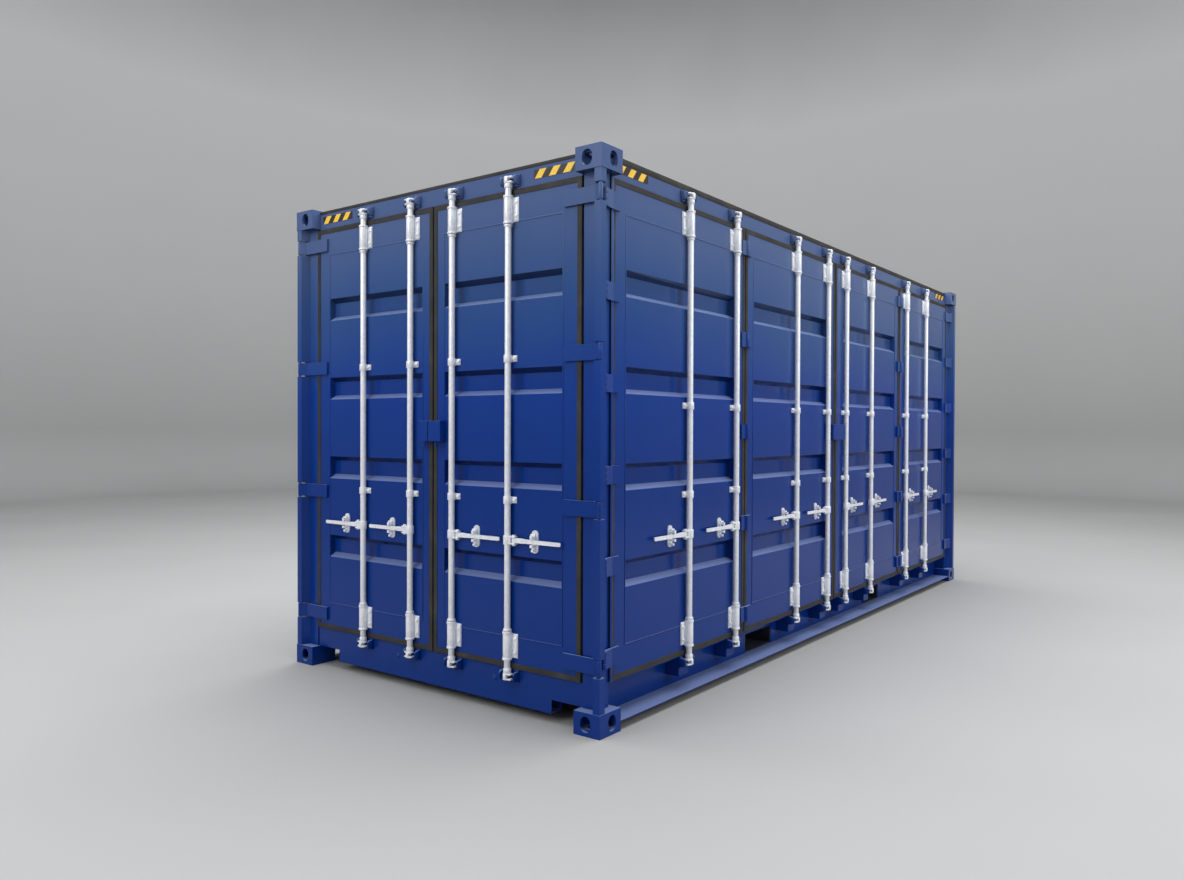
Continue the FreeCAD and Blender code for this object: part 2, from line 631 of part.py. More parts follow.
def leaf(name, low, high, low_stile, high_stile, end_door):
    """One door leaf between two places along its face: frame of tubes and folded panel.

    An end leaf runs along Y behind the end plane, a side leaf along X behind the
    side plane.  Returns the leaf and its rubber seal."""
    bottom = "door_bottom + door_clear"
    top = "door_top - door_clear"
    front = "leaf_recess"
    rear = "leaf_recess + leaf_thick"

    def block(label, grow, levels, heights_grow):
        """A block along the leaf's face, grown outwards by a margin on all four sides."""
        along = ("%s - (%s)" % (low, grow), "%s + %s" % (high, grow))
        heights = ("%s - (%s)" % (bottom, heights_grow), "%s + %s" % (top, heights_grow))
        if end_door:
            return box(label, (deep(levels[0]), deep(levels[1])), along, heights)
        return box(label, along, (inset(levels[0]), inset(levels[1])), heights)

    frame_block = block(name + "_block", "-seal_lap", (front, rear), "-seal_lap")
    inner_low = "%s + seal_lap + %s" % (low, low_stile)
    inner_high = "%s - seal_lap - %s" % (high, high_stile)
    heights = (bottom + " + seal_lap + leaf_rail", top + " - seal_lap - leaf_rail")
    levels = (front + " - 1", rear + " + 1")
    if end_door:
        hole = box(name + "_hole", (deep(levels[0]), deep(levels[1])),
                   (inner_low, inner_high), heights)
        points = leaf_panel(lambda level, height: (deep(level), height))
        panel = prism(name + "_panel", "y", points, (inner_low, inner_high))
    else:
        hole = box(name + "_hole", (inner_low, inner_high),
                   (inset(levels[0]), inset(levels[1])), heights)
        points = leaf_panel(lambda level, height: (inset(level), height))
        panel = prism(name + "_panel", "x", points, (inner_low, inner_high))
    steel = fuse(name + "_steel", [cut(name + "_frame", frame_block, [hole]), panel])
    rim = cut(name + "_rim",
              block(name + "_rim_block", "0", (front + " - seal_proud", rear + " + seal_behind"),
                    "0"),
              [block(name + "_rim_hole", "-seal_lap", (front, rear + " + seal_behind + 1"),
                     "-seal_lap"),
               block(name + "_rim_window", "-seal_lap - seal_front",
                     (front + " - seal_proud - 1", front + " + 1"), "-seal_lap - seal_front")])
    return steel, rim


def make_end_leaves():
    """The two end leaves, their seals, hinge straps and pins."""
    edge = inset("end_seal_edge")
    steel, seal = leaf("right_leaf", edge, "-meeting_gap / 2", "outer_stile", "inner_stile", True)
    node("end_leaf_right", steel)
    node("end_seal_right", seal)
    node("end_leaf_left", mirrored("left_leaf", steel, "y"))
    node("end_seal_left", mirrored("left_seal", seal, "y"))

    front = "leaf_recess - seal_proud - strap_thick"
    under = "leaf_recess - seal_proud"
    slant = "knuckle_radius * 0.8"
    edge = "knuckle_radius * 0.6"
    arm = [("pin_deep - " + slant, "pin_inset + " + edge), (front, "strap_root"),
           (front, "strap_reach"), ("leaf_recess", "strap_reach"),
           ("leaf_recess", "strap_seat"), (under, "strap_seat"), (under, "strap_heel"),
           ("pin_deep + " + slant, "pin_inset - " + edge)]
    straps = []
    pins = []
    for row, height in enumerate(HINGES):
        span = ("%s - strap_tall / 2" % height, "%s + strap_tall / 2" % height)
        plate = prism("strap_arm_%d" % row, "z", [(deep(x), inset(y)) for x, y in arm], span)
        knuckle = rod("strap_knuckle_%d" % row, deep("pin_deep"), inset("pin_inset"),
                      "knuckle_radius", span)
        bore = rod("strap_bore_%d" % row, deep("pin_deep"), inset("pin_inset"),
                   "pin_radius + pin_play", span)
        straps.append(cut("strap_%d" % row, fuse("strap_solid_%d" % row, [plate, knuckle]),
                          [bore]))
        grip = "strap_tall / 2 + hinge_clear + pin_grip"
        pins.append(rod("hinge_pin_%d" % row, deep("pin_deep"), inset("pin_inset"), "pin_radius",
                        ("%s - (%s)" % (height, grip), "%s + %s" % (height, grip))))
    right = group("straps_right", straps)
    node("end_straps_right", right)
    node("end_straps_left", mirrored("straps_left", right, "y"))
    near = group("pins_near", pins)
    node("end_hinge_pins", group("pins", pins + [mirrored("pins_far", near, "y")]))


def make_side_leaves():
    """The four folding side leaves with their seals, all shut."""
    outer = deep("end_seal_edge")
    steel_1, seal_1 = leaf("side_one", outer, "-fold_line - fold_gap / 2", "side_outer_stile",
                           "side_fold_stile", False)
    steel_2, seal_2 = leaf("side_two", "-fold_line + fold_gap / 2", "-meeting_gap / 2",
                           "side_inner_stile", "side_meeting_stile", False)
    node("side_leaf_1", steel_1)
    node("side_leaf_2", steel_2)
    node("side_leaf_3", mirrored("side_three", steel_2, "x"))
    node("side_leaf_4", mirrored("side_four", steel_1, "x"))
    seals = [seal_1, seal_2, mirrored("seal_3", seal_2, "x"), mirrored("seal_4", seal_1, "x")]
    node("side_seals", group("seals", seals))


def make_side_hinges():
    """Hinges of the side leaves: six on each post, five on each fold."""
    items = []
    under = "leaf_recess - seal_proud"
    arm = [("side_pin_end", "side_pin_inset - side_pin_radius"),
           ("end_seal_edge - hinge_clear", under + " - strap_thick"),
           ("side_strap_reach", under + " - strap_thick"), ("side_strap_reach", "leaf_recess"),
           ("strap_seat", "leaf_recess"), ("strap_seat", under),
           ("end_seal_edge - hinge_clear", under),
           ("side_pin_end", "side_pin_inset + side_pin_radius")]
    heights = stacked("side_hinge_first", "side_hinge_pitch", "side_hinge_tall")
    for row, height in enumerate(heights):
        span = ("%s - side_hinge_tall / 2" % height, "%s + side_hinge_tall / 2" % height)
        plate = prism("side_arm_%d" % row, "z", [(deep(x), inset(y)) for x, y in arm], span)
        knuckle = rod("side_knuckle_%d" % row, deep("side_pin_end"), inset("side_pin_inset"),
                      "side_pin_radius", span)
        lug = box("side_lug_%d" % row,
                  (deep("side_pin_end - side_pin_radius / 2"),
                   deep("side_pin_end + side_pin_radius / 2")),
                  (inset("side_pin_inset"), inset("recess")), span)
        items.append(fuse("side_hinge_%d" % row, [plate, knuckle, lug]))
    near = group("side_hinges_near", items)
    node("side_post_hinges", group("side_hinges", items + [mirrored("side_hinges_far", near, "x")]))
    folds = []
    heights = stacked("fold_hinge_first", "fold_hinge_pitch", "side_hinge_tall")
    for row, height in enumerate(heights):
        span = ("%s - side_hinge_tall / 2" % height, "%s + side_hinge_tall / 2" % height)
        plate = box("fold_plate_%d" % row,
                    ("-fold_line - fold_hinge_half", "-fold_line + fold_hinge_half"),
                    (inset("fold_hinge_front + side_pin_radius"), inset(under)), span)
        knuckle = rod("fold_knuckle_%d" % row, "-fold_line",
                      inset("fold_hinge_front + side_pin_radius"), "side_pin_radius", span)
        feet = []
        for side, sign in (("near", "-"), ("far", "+")):
            inner = "-fold_line %s (fold_gap / 2 + seal_lap + seal_front + foot_clear)" % sign
            outer = "-fold_line %s fold_hinge_half" % sign
            feet.append(box("fold_foot_%s_%d" % (side, row),
                            (outer, inner) if sign == "-" else (inner, outer),
                            (inset(under), inset("leaf_recess")), span))
        folds.append(fuse("fold_hinge_%d" % row, [plate, knuckle] + feet))
    near = group("fold_hinges_near", folds)
    node("side_fold_hinges", group("fold_hinges", folds + [mirrored("fold_hinges_far", near, "x")]))


# ---------------------------------------------------------------- lock bars and their gear
# One set is drawn at the origin: the bar stands on Z, the door face is at +Y, the
# front is at -Y and the handle points along +X towards the door's hinges.
DOOR_FACE = "leaf_recess - bar_recess"


def draw_bar():
    """A lock bar with a cam at each end and its handle."""
    parts = [rod("bar_tube", "0", "0", "bar_radius", ("bar_bottom", "bar_top"))]
    for label, low in (("bottom", "bar_bottom"), ("top", "bar_top - cam_tall")):
        span = (low, low + " + cam_tall")
        parts.append(rod("cam_boss_" + label, "0", "0", "cam_radius", span))
        parts.append(box("cam_lug_" + label, ("-cam_lug_wide / 2", "cam_lug_wide / 2"),
                         ("0", "sqrt(cam_lug * cam_lug - cam_lug_wide * cam_lug_wide / 4)"),
                         (low + " + cam_tall / 4", low + " + cam_tall * 3 / 4")))
    parts.append(box("handle_hub", ("0", "hub_length"), ("-hub_thick / 2", "hub_thick / 2"),
                     ("handle_height - hub_tall / 2", "handle_height + hub_tall / 2")))
    parts.append(box("handle_blade", ("hub_length - blade_root", "handle_length"),
                     ("-handle_thick / 2", "handle_thick / 2"),
                     ("handle_height - handle_tall / 2", "handle_height + handle_tall / 2")))
    return fuse("bar_drawn", parts)


def draw_bearings(name, guides):
    """The bearing brackets of one bar: a long one at each end and two short guides."""
    pieces = []
    places = [("low", "bearing_bottom", "bearing_tall", "bearing_half", "flange_half"),
              ("top", "bearing_top", "bearing_tall", "bearing_half", "flange_half"),
              ("guide_low", guides[0], "guide_tall", "guide_half", "guide_flange"),
              ("guide_high", guides[1], "guide_tall", "guide_half", "guide_flange")]
    for label, low, tall, half, flange in places:
        title = "%s_%s" % (name, label)
        house = box(title + "_house", ("-" + half, half),
                    ("bearing_front - bar_recess", DOOR_FACE), (low, "%s + %s" % (low, tall)))
        edge = "(bearing_tall - flange_tall) / 2" if tall == "bearing_tall" else "0"
        plate = box(title + "_plate", ("-" + flange, flange),
                    ("%s - flange_thick" % DOOR_FACE, DOOR_FACE),
                    ("%s + %s" % (low, edge), "%s + %s - %s" % (low, tall, edge)))
        bore = rod(title + "_bore", "0", "0", "bar_radius + bar_play",
                   (low, "%s + %s" % (low, tall)))
        pieces.append(cut(title, fuse(title + "_solid", [house, plate]), [bore]))
    return group(name, pieces)


def draw_catch():
    """The handle's catch: a plate on the door with a cheek above and below the handle."""
    middle = "handle_height"
    plate = slot_cutter("catch_plate",
                        ("catch_place", "%s - flange_thick" % DOOR_FACE, middle),
                        "catch_tall / 2", "catch_wide / 2", "z", "y", "flange_thick")
    gap = "(handle_tall / 2 + catch_gap)"
    cheeks = []
    low_side = "%s - %s" % (middle, gap)
    high_side = "%s + %s" % (middle, gap)
    for label, low, high in (("low", low_side + " - catch_cheek", low_side),
                             ("high", high_side, high_side + " + catch_cheek")):
        cheeks.append(box("catch_cheek_" + label,
                          ("catch_place - catch_wide / 3", "catch_place + catch_wide / 3"),
                          ("catch_front - bar_recess", DOOR_FACE), (low, high)))
    return fuse("catch_drawn", [plate] + cheeks)


def draw_keeper():
    """A cam keeper: two horns in front of the header, joined above the cam."""
    low = "bar_top - keeper_reach"
    high = "bar_top + keeper_over + keeper_bridge"
    block = box("keeper_block", ("-keeper_half", "keeper_half"),
                ("keeper_front - bar_recess", "rail_recess - bar_recess"), (low, high))
    gap = box("keeper_gap", ("-keeper_half + keeper_horn", "keeper_half - keeper_horn"),
              ("keeper_front - bar_recess - 1", "rail_recess - bar_recess"),
              (low, "bar_top + keeper_over"))
    return cut("keeper_drawn", block, [gap])


def make_end_gear():
    """Four lock bars with their fittings on the end doors."""
    bar = draw_bar()
    bearings = draw_bearings("end_bearings", ("end_guide_low", "end_guide_high"))
    catch = draw_catch()
    keeper = draw_keeper()
    lower = mirrored("keeper_lower", keeper, "z", "(bar_bottom + bar_top) / 2")
    pair = group("keeper_pair", [keeper, lower])
    on_leaf = []
    catches = []
    keepers = []
    for number, line in ((3, "-end_bar_inner"), (4, "-end_bar_outer")):
        spot = (deep("bar_recess"), line)
        node("end_bar_%d" % number, placed("bar_place_%d" % number, bar, *spot, turn=-90))
        on_leaf.append(placed("end_bearings_%d" % number, bearings, *spot, turn=-90))
        catches.append(placed("end_catch_%d" % number, catch, *spot, turn=-90))
        keepers.append(placed("end_keeper_%d" % number, pair, *spot, turn=-90))
    for number, twin in ((2, "3"), (1, "4")):
        source = document.getObject("bar_place_" + twin)
        node("end_bar_%d" % number, mirrored("bar_mirror_%d" % number, source, "y"))
    near = group("end_bearings_near", on_leaf)
    node("end_bearings_right", near)
    node("end_bearings_left", mirrored("end_bearings_far", near, "y"))
    near = group("end_catches_near", catches)
    node("end_catches_right", near)
    node("end_catches_left", mirrored("end_catches_far", near, "y"))
    near = group("end_keepers_near", keepers)
    node("end_keepers", group("end_keepers_all", [near, mirrored("end_keepers_far", near, "y")]))
    return bar, catch, pair


def make_side_gear(bar, catch, pair):
    """Eight lock bars with their fittings on the folding side doors."""
    bearings = draw_bearings("side_bearings", ("side_guide_low", "side_guide_high"))
    bars = []
    on_leaf = []
    catches = []
    keepers = []
    lines = ("side_bar_meeting", "side_bar_second", "side_bar_third", "side_bar_outer")
    for number, line in enumerate(lines):
        spot = (line, inset("bar_recess"))
        bars.append(placed("side_bar_%d" % number, bar, *spot))
        on_leaf.append(placed("side_bearings_%d" % number, bearings, *spot))
        catches.append(placed("side_catch_%d" % number, catch, *spot))
        keepers.append(placed("side_keeper_%d" % number, pair, *spot))
        keepers.append(box("side_keeper_box_%d" % number,
                           (line + " - keeper_box_half", line + " + keeper_box_half"),
                           (inset("rail_recess"), inset("web_recess")),
                           ("keeper_box_low", "door_bottom - flange_sheet")))
    for name, items in (("side_lock_bars", bars), ("side_bearing_brackets", on_leaf),
                        ("side_handle_catches", catches)):
        right = group(name + "_right", items)
        node(name, group(name + "_all", [right, mirrored(name + "_left", right, "x")]))
    right = fuse("side_keepers_right", keepers)
    left = mirrored("side_keepers_left", right, "x")
    node("side_keepers", group("side_keepers_all", [right, left]))


def make_lock_boxes():
    """Lock boxes over the meeting lines, each a bent hood open at the bottom."""
    heights = ("box_bottom", "box_bottom + box_tall")
    levels = ("box_front", "leaf_recess - seal_proud")

    def hood(name, low, high, feet, end_door):
        """A hood on a leaf between two places along its face, on feet beside the seal."""
        parts = {"block": [(low, high), levels, heights],
                 "bore": [("%s + box_sheet" % low, "%s - box_sheet" % high),
                          ("box_front + box_sheet", levels[1]),
                          ("box_bottom - 1", "box_bottom + box_tall - box_sheet")]}
        for number, foot in enumerate(feet):
            parts["foot_%d" % number] = [foot, (levels[1], "leaf_recess"), heights]
        items = {}
        for label, (along, level, height) in parts.items():
            if end_door:
                spans = ((deep(level[0]), deep(level[1])), along, height)
            else:
                spans = (along, (inset(level[0]), inset(level[1])), height)
            items[label] = box("%s_%s" % (name, label), *spans)
        shell = cut(name + "_shell", items.pop("block"), [items.pop("bore")])
        return fuse(name, [shell] + list(items.values()))

    seal = "meeting_gap / 2 + seal_lap + seal_front + foot_clear"
    left_foot = ("box_left - box_sheet", "box_left")
    right_foot = ("-box_right", "-box_right + box_sheet")
    node("end_lock_box_left", hood("hood_left", "box_gap / 2", "box_left", [left_foot], True))
    node("end_lock_box_right", hood("hood_right", "-box_right", "-box_gap / 2",
                                    [right_foot], True))
    feet = [("-side_box_left", "-(%s)" % seal), (seal, "side_box_right")]
    node("side_lock_box", hood("hood_side", "-side_box_left", "side_box_right", feet, False))


# ---------------------------------------------------------------- build, check and write
make_castings()
make_posts()
make_door_frames()
make_closed_rails()
make_walls()
make_floor()
make_end_leaves()
make_side_leaves()
make_side_hinges()
drawn_bar, drawn_catch, drawn_keepers = make_end_gear()
make_side_gear(drawn_bar, drawn_catch, drawn_keepers)
make_lock_boxes()
document.recompute()

for item in document.Objects:
    if "Invalid" in item.State or "Error" in item.State:
        raise RuntimeError("%s failed to build" % item.Label)
for item in NODES:
    if item.Shape.isNull() or not item.Shape.isValid():
        raise RuntimeError("%s has no valid shape" % item.Label)

os.makedirs("parts", exist_ok=True)
for item in NODES:
    item.Shape.exportStep(os.path.join("parts", item.Label + ".step"))
    print("%-26s %2d solids %9.1f cm3" % (item.Label, len(item.Shape.Solids),
                                          item.Shape.Volume / 1000))
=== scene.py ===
# %% [markdown]
# # A side-opening shipping container
#
# The steel frame, its doors and its walls come ready made as a fixed frame.  This
# lesson gives every surface its finish, and models the small forged and pressed
# pieces that make a container look real: lock bars with cams and handles, the
# brackets they turn in, rubber seals, weld beads and striped markings.
# All lengths are in metres.  +Z is up, the end doors look along -X and the
# folding side doors look along -Y.

import json
import math

import bmesh
import bpy
from mathutils import Matrix, Vector


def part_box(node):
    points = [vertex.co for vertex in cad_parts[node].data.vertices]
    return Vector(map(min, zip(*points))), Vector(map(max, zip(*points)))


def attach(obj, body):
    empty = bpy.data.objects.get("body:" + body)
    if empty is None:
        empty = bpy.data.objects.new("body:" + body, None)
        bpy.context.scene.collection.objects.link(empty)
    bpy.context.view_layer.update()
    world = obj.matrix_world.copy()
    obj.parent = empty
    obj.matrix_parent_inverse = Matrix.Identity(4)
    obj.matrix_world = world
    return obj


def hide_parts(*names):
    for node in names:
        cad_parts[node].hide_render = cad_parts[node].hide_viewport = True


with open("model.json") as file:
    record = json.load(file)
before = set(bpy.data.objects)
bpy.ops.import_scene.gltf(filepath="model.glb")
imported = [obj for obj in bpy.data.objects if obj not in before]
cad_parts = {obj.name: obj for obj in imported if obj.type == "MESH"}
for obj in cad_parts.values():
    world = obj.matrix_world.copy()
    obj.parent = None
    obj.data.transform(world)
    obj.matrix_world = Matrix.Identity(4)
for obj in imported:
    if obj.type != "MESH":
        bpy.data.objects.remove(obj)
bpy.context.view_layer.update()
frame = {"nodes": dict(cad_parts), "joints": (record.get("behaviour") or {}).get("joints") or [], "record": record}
NODES = frame["nodes"]

# %% [markdown]
# ## Places taken from the frame
#
# The lock gear sits at fixed depths in front of the door leaves.  The faces of the
# leaves are read from the frame, and each lock bar's line is its joint's own place,
# so nothing has to be fitted by eye.

# %% Door faces and bar lines
BAR_STANDS_OFF = 0.023      # from a bar's axis back to the door leaf
END_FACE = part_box("end_leaf_right")[0].x
SIDE_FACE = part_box("side_leaf_1")[0].y
END_AXIS = END_FACE - BAR_STANDS_OFF
SIDE_AXIS = SIDE_FACE - BAR_STANDS_OFF
BARS = {joint["child"]: joint["pos_m"][1] for joint in frame["joints"]
        if joint["child"].startswith("bar_")}
SIDE_BARS = [sign * x for x in (0.177, 0.717, 1.596, 2.148) for sign in (-1, 1)]     # at x
BAR_LOW, BAR_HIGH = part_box("end_bar_1")[0].z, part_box("end_bar_1")[1].z
HANDLE_HEIGHT = 0.925
print("end doors face x =", round(END_FACE, 3), " side doors face y =", round(SIDE_FACE, 3))
print("bars stand at y =", BARS, "and at x =", SIDE_BARS)

# %% [markdown]
# ## The camera
#
# A wide lens stands at eye height off the corner where both sets of doors
# meet, so that lines run away strongly to both sides.  It looks almost level, with
# a small dip and roll.

# %% Camera
LENS, SENSOR_WIDTH = 27.54, 36                 # millimetres
CAMERA_SPOT = (-6.547, -3.821, 1.506)
YAW, PITCH, ROLL = 37.034, -0.634, 0.193       # degrees

camera = bpy.data.objects.new("camera", bpy.data.cameras.new("camera"))
bpy.context.scene.collection.objects.link(camera)
camera.data.lens = LENS
camera.data.sensor_width = SENSOR_WIDTH
camera.data.clip_end = 200
yaw, pitch, roll = (math.radians(angle) for angle in (YAW, PITCH, ROLL))
forward = Vector((math.cos(pitch) * math.cos(yaw),
                  math.cos(pitch) * math.sin(yaw),
                  math.sin(pitch)))
level = Vector((math.sin(yaw), -math.cos(yaw), 0))
upright = level.cross(forward)
right = level * math.cos(roll) + upright * math.sin(roll)
up = upright * math.cos(roll) - level * math.sin(roll)
turn = Matrix((right, up, -forward)).transposed().to_4x4()
camera.matrix_world = Matrix.Translation(CAMERA_SPOT) @ turn
bpy.context.scene.camera = camera
bpy.context.scene.view_settings.view_transform = "Standard"
print("camera at", CAMERA_SPOT, "with a", LENS, "mm lens")

# %% [markdown]
# ## Hands for modelling
#
# Blender's operators act on what is selected, so these small helpers first put
# everything else down.  A piece is added as a primitive at its size and place, its
# faces are picked in code by where they are and which way they look, and every edge
# that a hand could touch is bevelled, because forged and cast steel has no razor
# edges.  The last helper gives a piece its finish and says which body carries it.

# %% Selecting and picking
def hold(*pieces):
    """Selects only these pieces, and makes the first the active one."""
    bpy.ops.object.select_all(action="DESELECT")
    for piece in pieces:
        piece.select_set(True)
    bpy.context.view_layer.objects.active = pieces[0]


def pick(piece, test):
    """In edit mode, selects only the faces whose middle and direction pass the test."""
    bpy.ops.mesh.select_mode(type="FACE")
    bpy.ops.mesh.select_all(action="DESELECT")
    mesh = bmesh.from_edit_mesh(piece.data)
    for face in mesh.faces:
        if test(face.calc_center_median(), face.normal):
            face.select_set(True)
    bmesh.update_edit_mesh(piece.data)


def pick_edges(piece, test):
    """In edit mode, selects only the edges whose middle and direction pass the test."""
    bpy.ops.mesh.select_mode(type="EDGE")
    bpy.ops.mesh.select_all(action="DESELECT")
    mesh = bmesh.from_edit_mesh(piece.data)
    for edge in mesh.edges:
        first, second = (corner.co for corner in edge.verts)
        if test((first + second) / 2, (second - first).normalized()):
            edge.select_set(True)
    bmesh.update_edit_mesh(piece.data)


print("ready to select pieces, faces and edges")

# %% Blocks
def settle(piece):
    """Puts a piece's place, turn and size into its mesh."""
    hold(piece)
    bpy.ops.object.transform_apply(location=True, rotation=True, scale=True)
    return piece


def block(name, low, high, round_off=0.002, steps=2):
    """A steel block between two corners, with all its edges rounded off."""
    low, high = Vector(low), Vector(high)
    bpy.ops.object.select_all(action="DESELECT")
    bpy.ops.mesh.primitive_cube_add(size=1, location=(low + high) / 2)
    piece = bpy.context.object
    piece.name = name
    piece.scale = high - low
    settle(piece)
    bpy.ops.object.mode_set(mode="EDIT")
    bpy.ops.mesh.select_all(action="SELECT")
    bpy.ops.mesh.bevel(offset=round_off, segments=steps, affect="EDGES")
    bpy.ops.object.mode_set(mode="OBJECT")
    return piece


# %% Round bars and sleeves
def round_bar(name, spot, radius, length, axis="z", sides=24, round_off=0.001):
    """A round bar from a spot along an axis, with its two rims chamfered."""
    turns = {"z": (0, 0, 0), "x": (0, math.pi / 2, 0), "y": (-math.pi / 2, 0, 0)}
    direction = Vector([letter == axis for letter in "xyz"])
    bpy.ops.object.select_all(action="DESELECT")
    bpy.ops.mesh.primitive_cylinder_add(vertices=sides, radius=radius, depth=length,
                                        location=Vector(spot) + direction * length / 2,
                                        rotation=turns[axis])
    piece = settle(bpy.context.object)
    piece.name = name
    bpy.ops.object.mode_set(mode="EDIT")
    pick_edges(piece, lambda middle, way: abs(way.dot(direction)) < 0.5)
    bpy.ops.mesh.bevel(offset=round_off, segments=2, affect="EDGES")
    bpy.ops.object.mode_set(mode="OBJECT")
    return piece


def sleeve(name, low, high, outer, inner, sides=24):
    """An upright tube about the origin: a round bar with a bore bridged through it."""
    bpy.ops.object.select_all(action="DESELECT")
    bpy.ops.mesh.primitive_cylinder_add(vertices=sides, radius=outer, depth=high - low,
                                        location=(0, 0, (low + high) / 2))
    piece = settle(bpy.context.object)
    piece.name = name
    bpy.ops.object.mode_set(mode="EDIT")
    pick(piece, lambda middle, way: abs(way.z) > 0.9)
    bpy.ops.mesh.inset(thickness=outer - inner, use_individual=True)
    bpy.ops.mesh.bridge_edge_loops()
    pick_edges(piece, lambda middle, way: abs(way.z) < 0.5
               and math.hypot(middle.x, middle.y) > (outer + inner) / 2)
    bpy.ops.mesh.bevel(offset=(outer - inner) * 0.25, segments=2, affect="EDGES")
    bpy.ops.object.mode_set(mode="OBJECT")
    return piece


def welded(name, parts):
    """Several parts joined as one piece."""
    hold(*parts)
    bpy.ops.object.join()
    piece = bpy.context.object
    piece.name = name
    return piece


# %% Copying a piece to its places
def stood(source, name, spot, quarter_turns=0, flipped=False):
    """A copy of a piece with its own mesh, mirrored left to right if flipped, turned
    about the upright through the origin and moved to its spot."""
    hold(source)
    bpy.ops.object.duplicate(linked=False)
    piece = bpy.context.object
    piece.name = name
    if flipped:
        piece.scale.x = -1
        settle(piece)
        bpy.ops.object.mode_set(mode="EDIT")
        bpy.ops.mesh.select_all(action="SELECT")
        bpy.ops.mesh.normals_make_consistent(inside=False)
        bpy.ops.object.mode_set(mode="OBJECT")
    piece.rotation_euler.z = quarter_turns * math.pi / 2
    piece.location = spot
    return settle(piece)


def put_away(*sources):
    """Removes the first models once their copies are in place."""
    for source in sources:
        bpy.data.objects.remove(source)


def smooth(piece, degrees=35):
    """Shades a piece smooth except over sharp edges."""
    hold(piece)
    bpy.ops.object.shade_smooth_by_angle(angle=math.radians(degrees))
    return piece


def declare(piece, body, slot, replaced, finish):
    piece.data.materials.clear()
    piece.data.materials.append(finish)
    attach(piece, body)
    if replaced:
        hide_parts(*replaced)


print("ready to make, copy and declare pieces")

# %% [markdown]
# ## Node helpers
#
# A material is a small network.  One function adds a node with its settings and
# links; another turns an ordinary sRGB hex colour into the linear one that shaders
# work in.

# %% Colours and nodes
def colour(code):
    """An sRGB hex colour as linear red, green, blue and alpha."""
    parts = [int(code[place:place + 2], 16) / 255 for place in (1, 3, 5)]
    return [part / 12.92 if part <= 0.04045 else ((part + 0.055) / 1.055) ** 2.4
            for part in parts] + [1.0]


def wire(node, inputs):
    """Sets a node's inputs, each by its name or number, to a value or to a socket's link."""
    for name, value in inputs.items():
        if isinstance(value, bpy.types.NodeSocket):
            node.id_data.links.new(value, node.inputs[name])
        else:
            node.inputs[name].default_value = value


def add(shader, kind, inputs, settings=(), stops=()):
    """One node in a shader's tree, with its inputs, its own settings and a ramp's stops."""
    node = shader.id_data.nodes.new("ShaderNode" + kind)
    for name, value in settings:
        setattr(node, name, value)
    for number, (place, code) in enumerate(stops):
        points = node.color_ramp.elements
        point = points[number] if number < 2 else points.new(1.0)
        point.position = place
        point.color = colour(code)
    wire(node, inputs)
    return node.outputs


def started(name):
    """A new material, its shader and the place on the object in metres."""
    material = bpy.data.materials.new(name)
    material.use_nodes = True
    shader = material.node_tree.nodes["Principled BSDF"]
    return material, shader, add(shader, "TexCoord", {})["Object"]


print("enamel blue in linear light:", [round(part, 3) for part in colour("#052e85")])

# %% [markdown]
# ## Marine enamel
#
# The steel is blasted, primed and sprayed with a thick blue two-pack enamel.  It
# flows out to a soft gloss with a fine orange-peel skin and carries faint runs of dust.
# A single colour would look like plastic.  The blue is painted lighter and greyer
# towards the top, a painted reflection of the bright sky, as a ramp over height broken
# up by soft noise, so that no two leaves look alike.  Faces that look up are painted a
# pale blue, a painted highlight of the light from above, and faces that look down are
# painted near black, a painted shade; both are mixed in by how far the surface's normal
# points up or down.  The painted highlight is mostly left off the roof.
# Weather also takes the shine off whatever faces the sky.

# %% Paint for frame, doors and walls
SKY_REFLECTION_STARTS, SKY_REFLECTION_ENDS = 1.45, 2.95        # heights over which the blue is painted lighter, a painted sky reflection
TOP_LIGHT_THINS_FROM, TOP_LIGHT_THINS_TO = 2.70, 2.80      # heights over which the painted highlight on faces that look up thins out
# a painted highlight for faces that look up and a painted shade for faces that look down
PAINTED_TOP_LIGHT, PAINTED_UNDER_SHADE = colour("#8494bb"), colour("#050c2c")


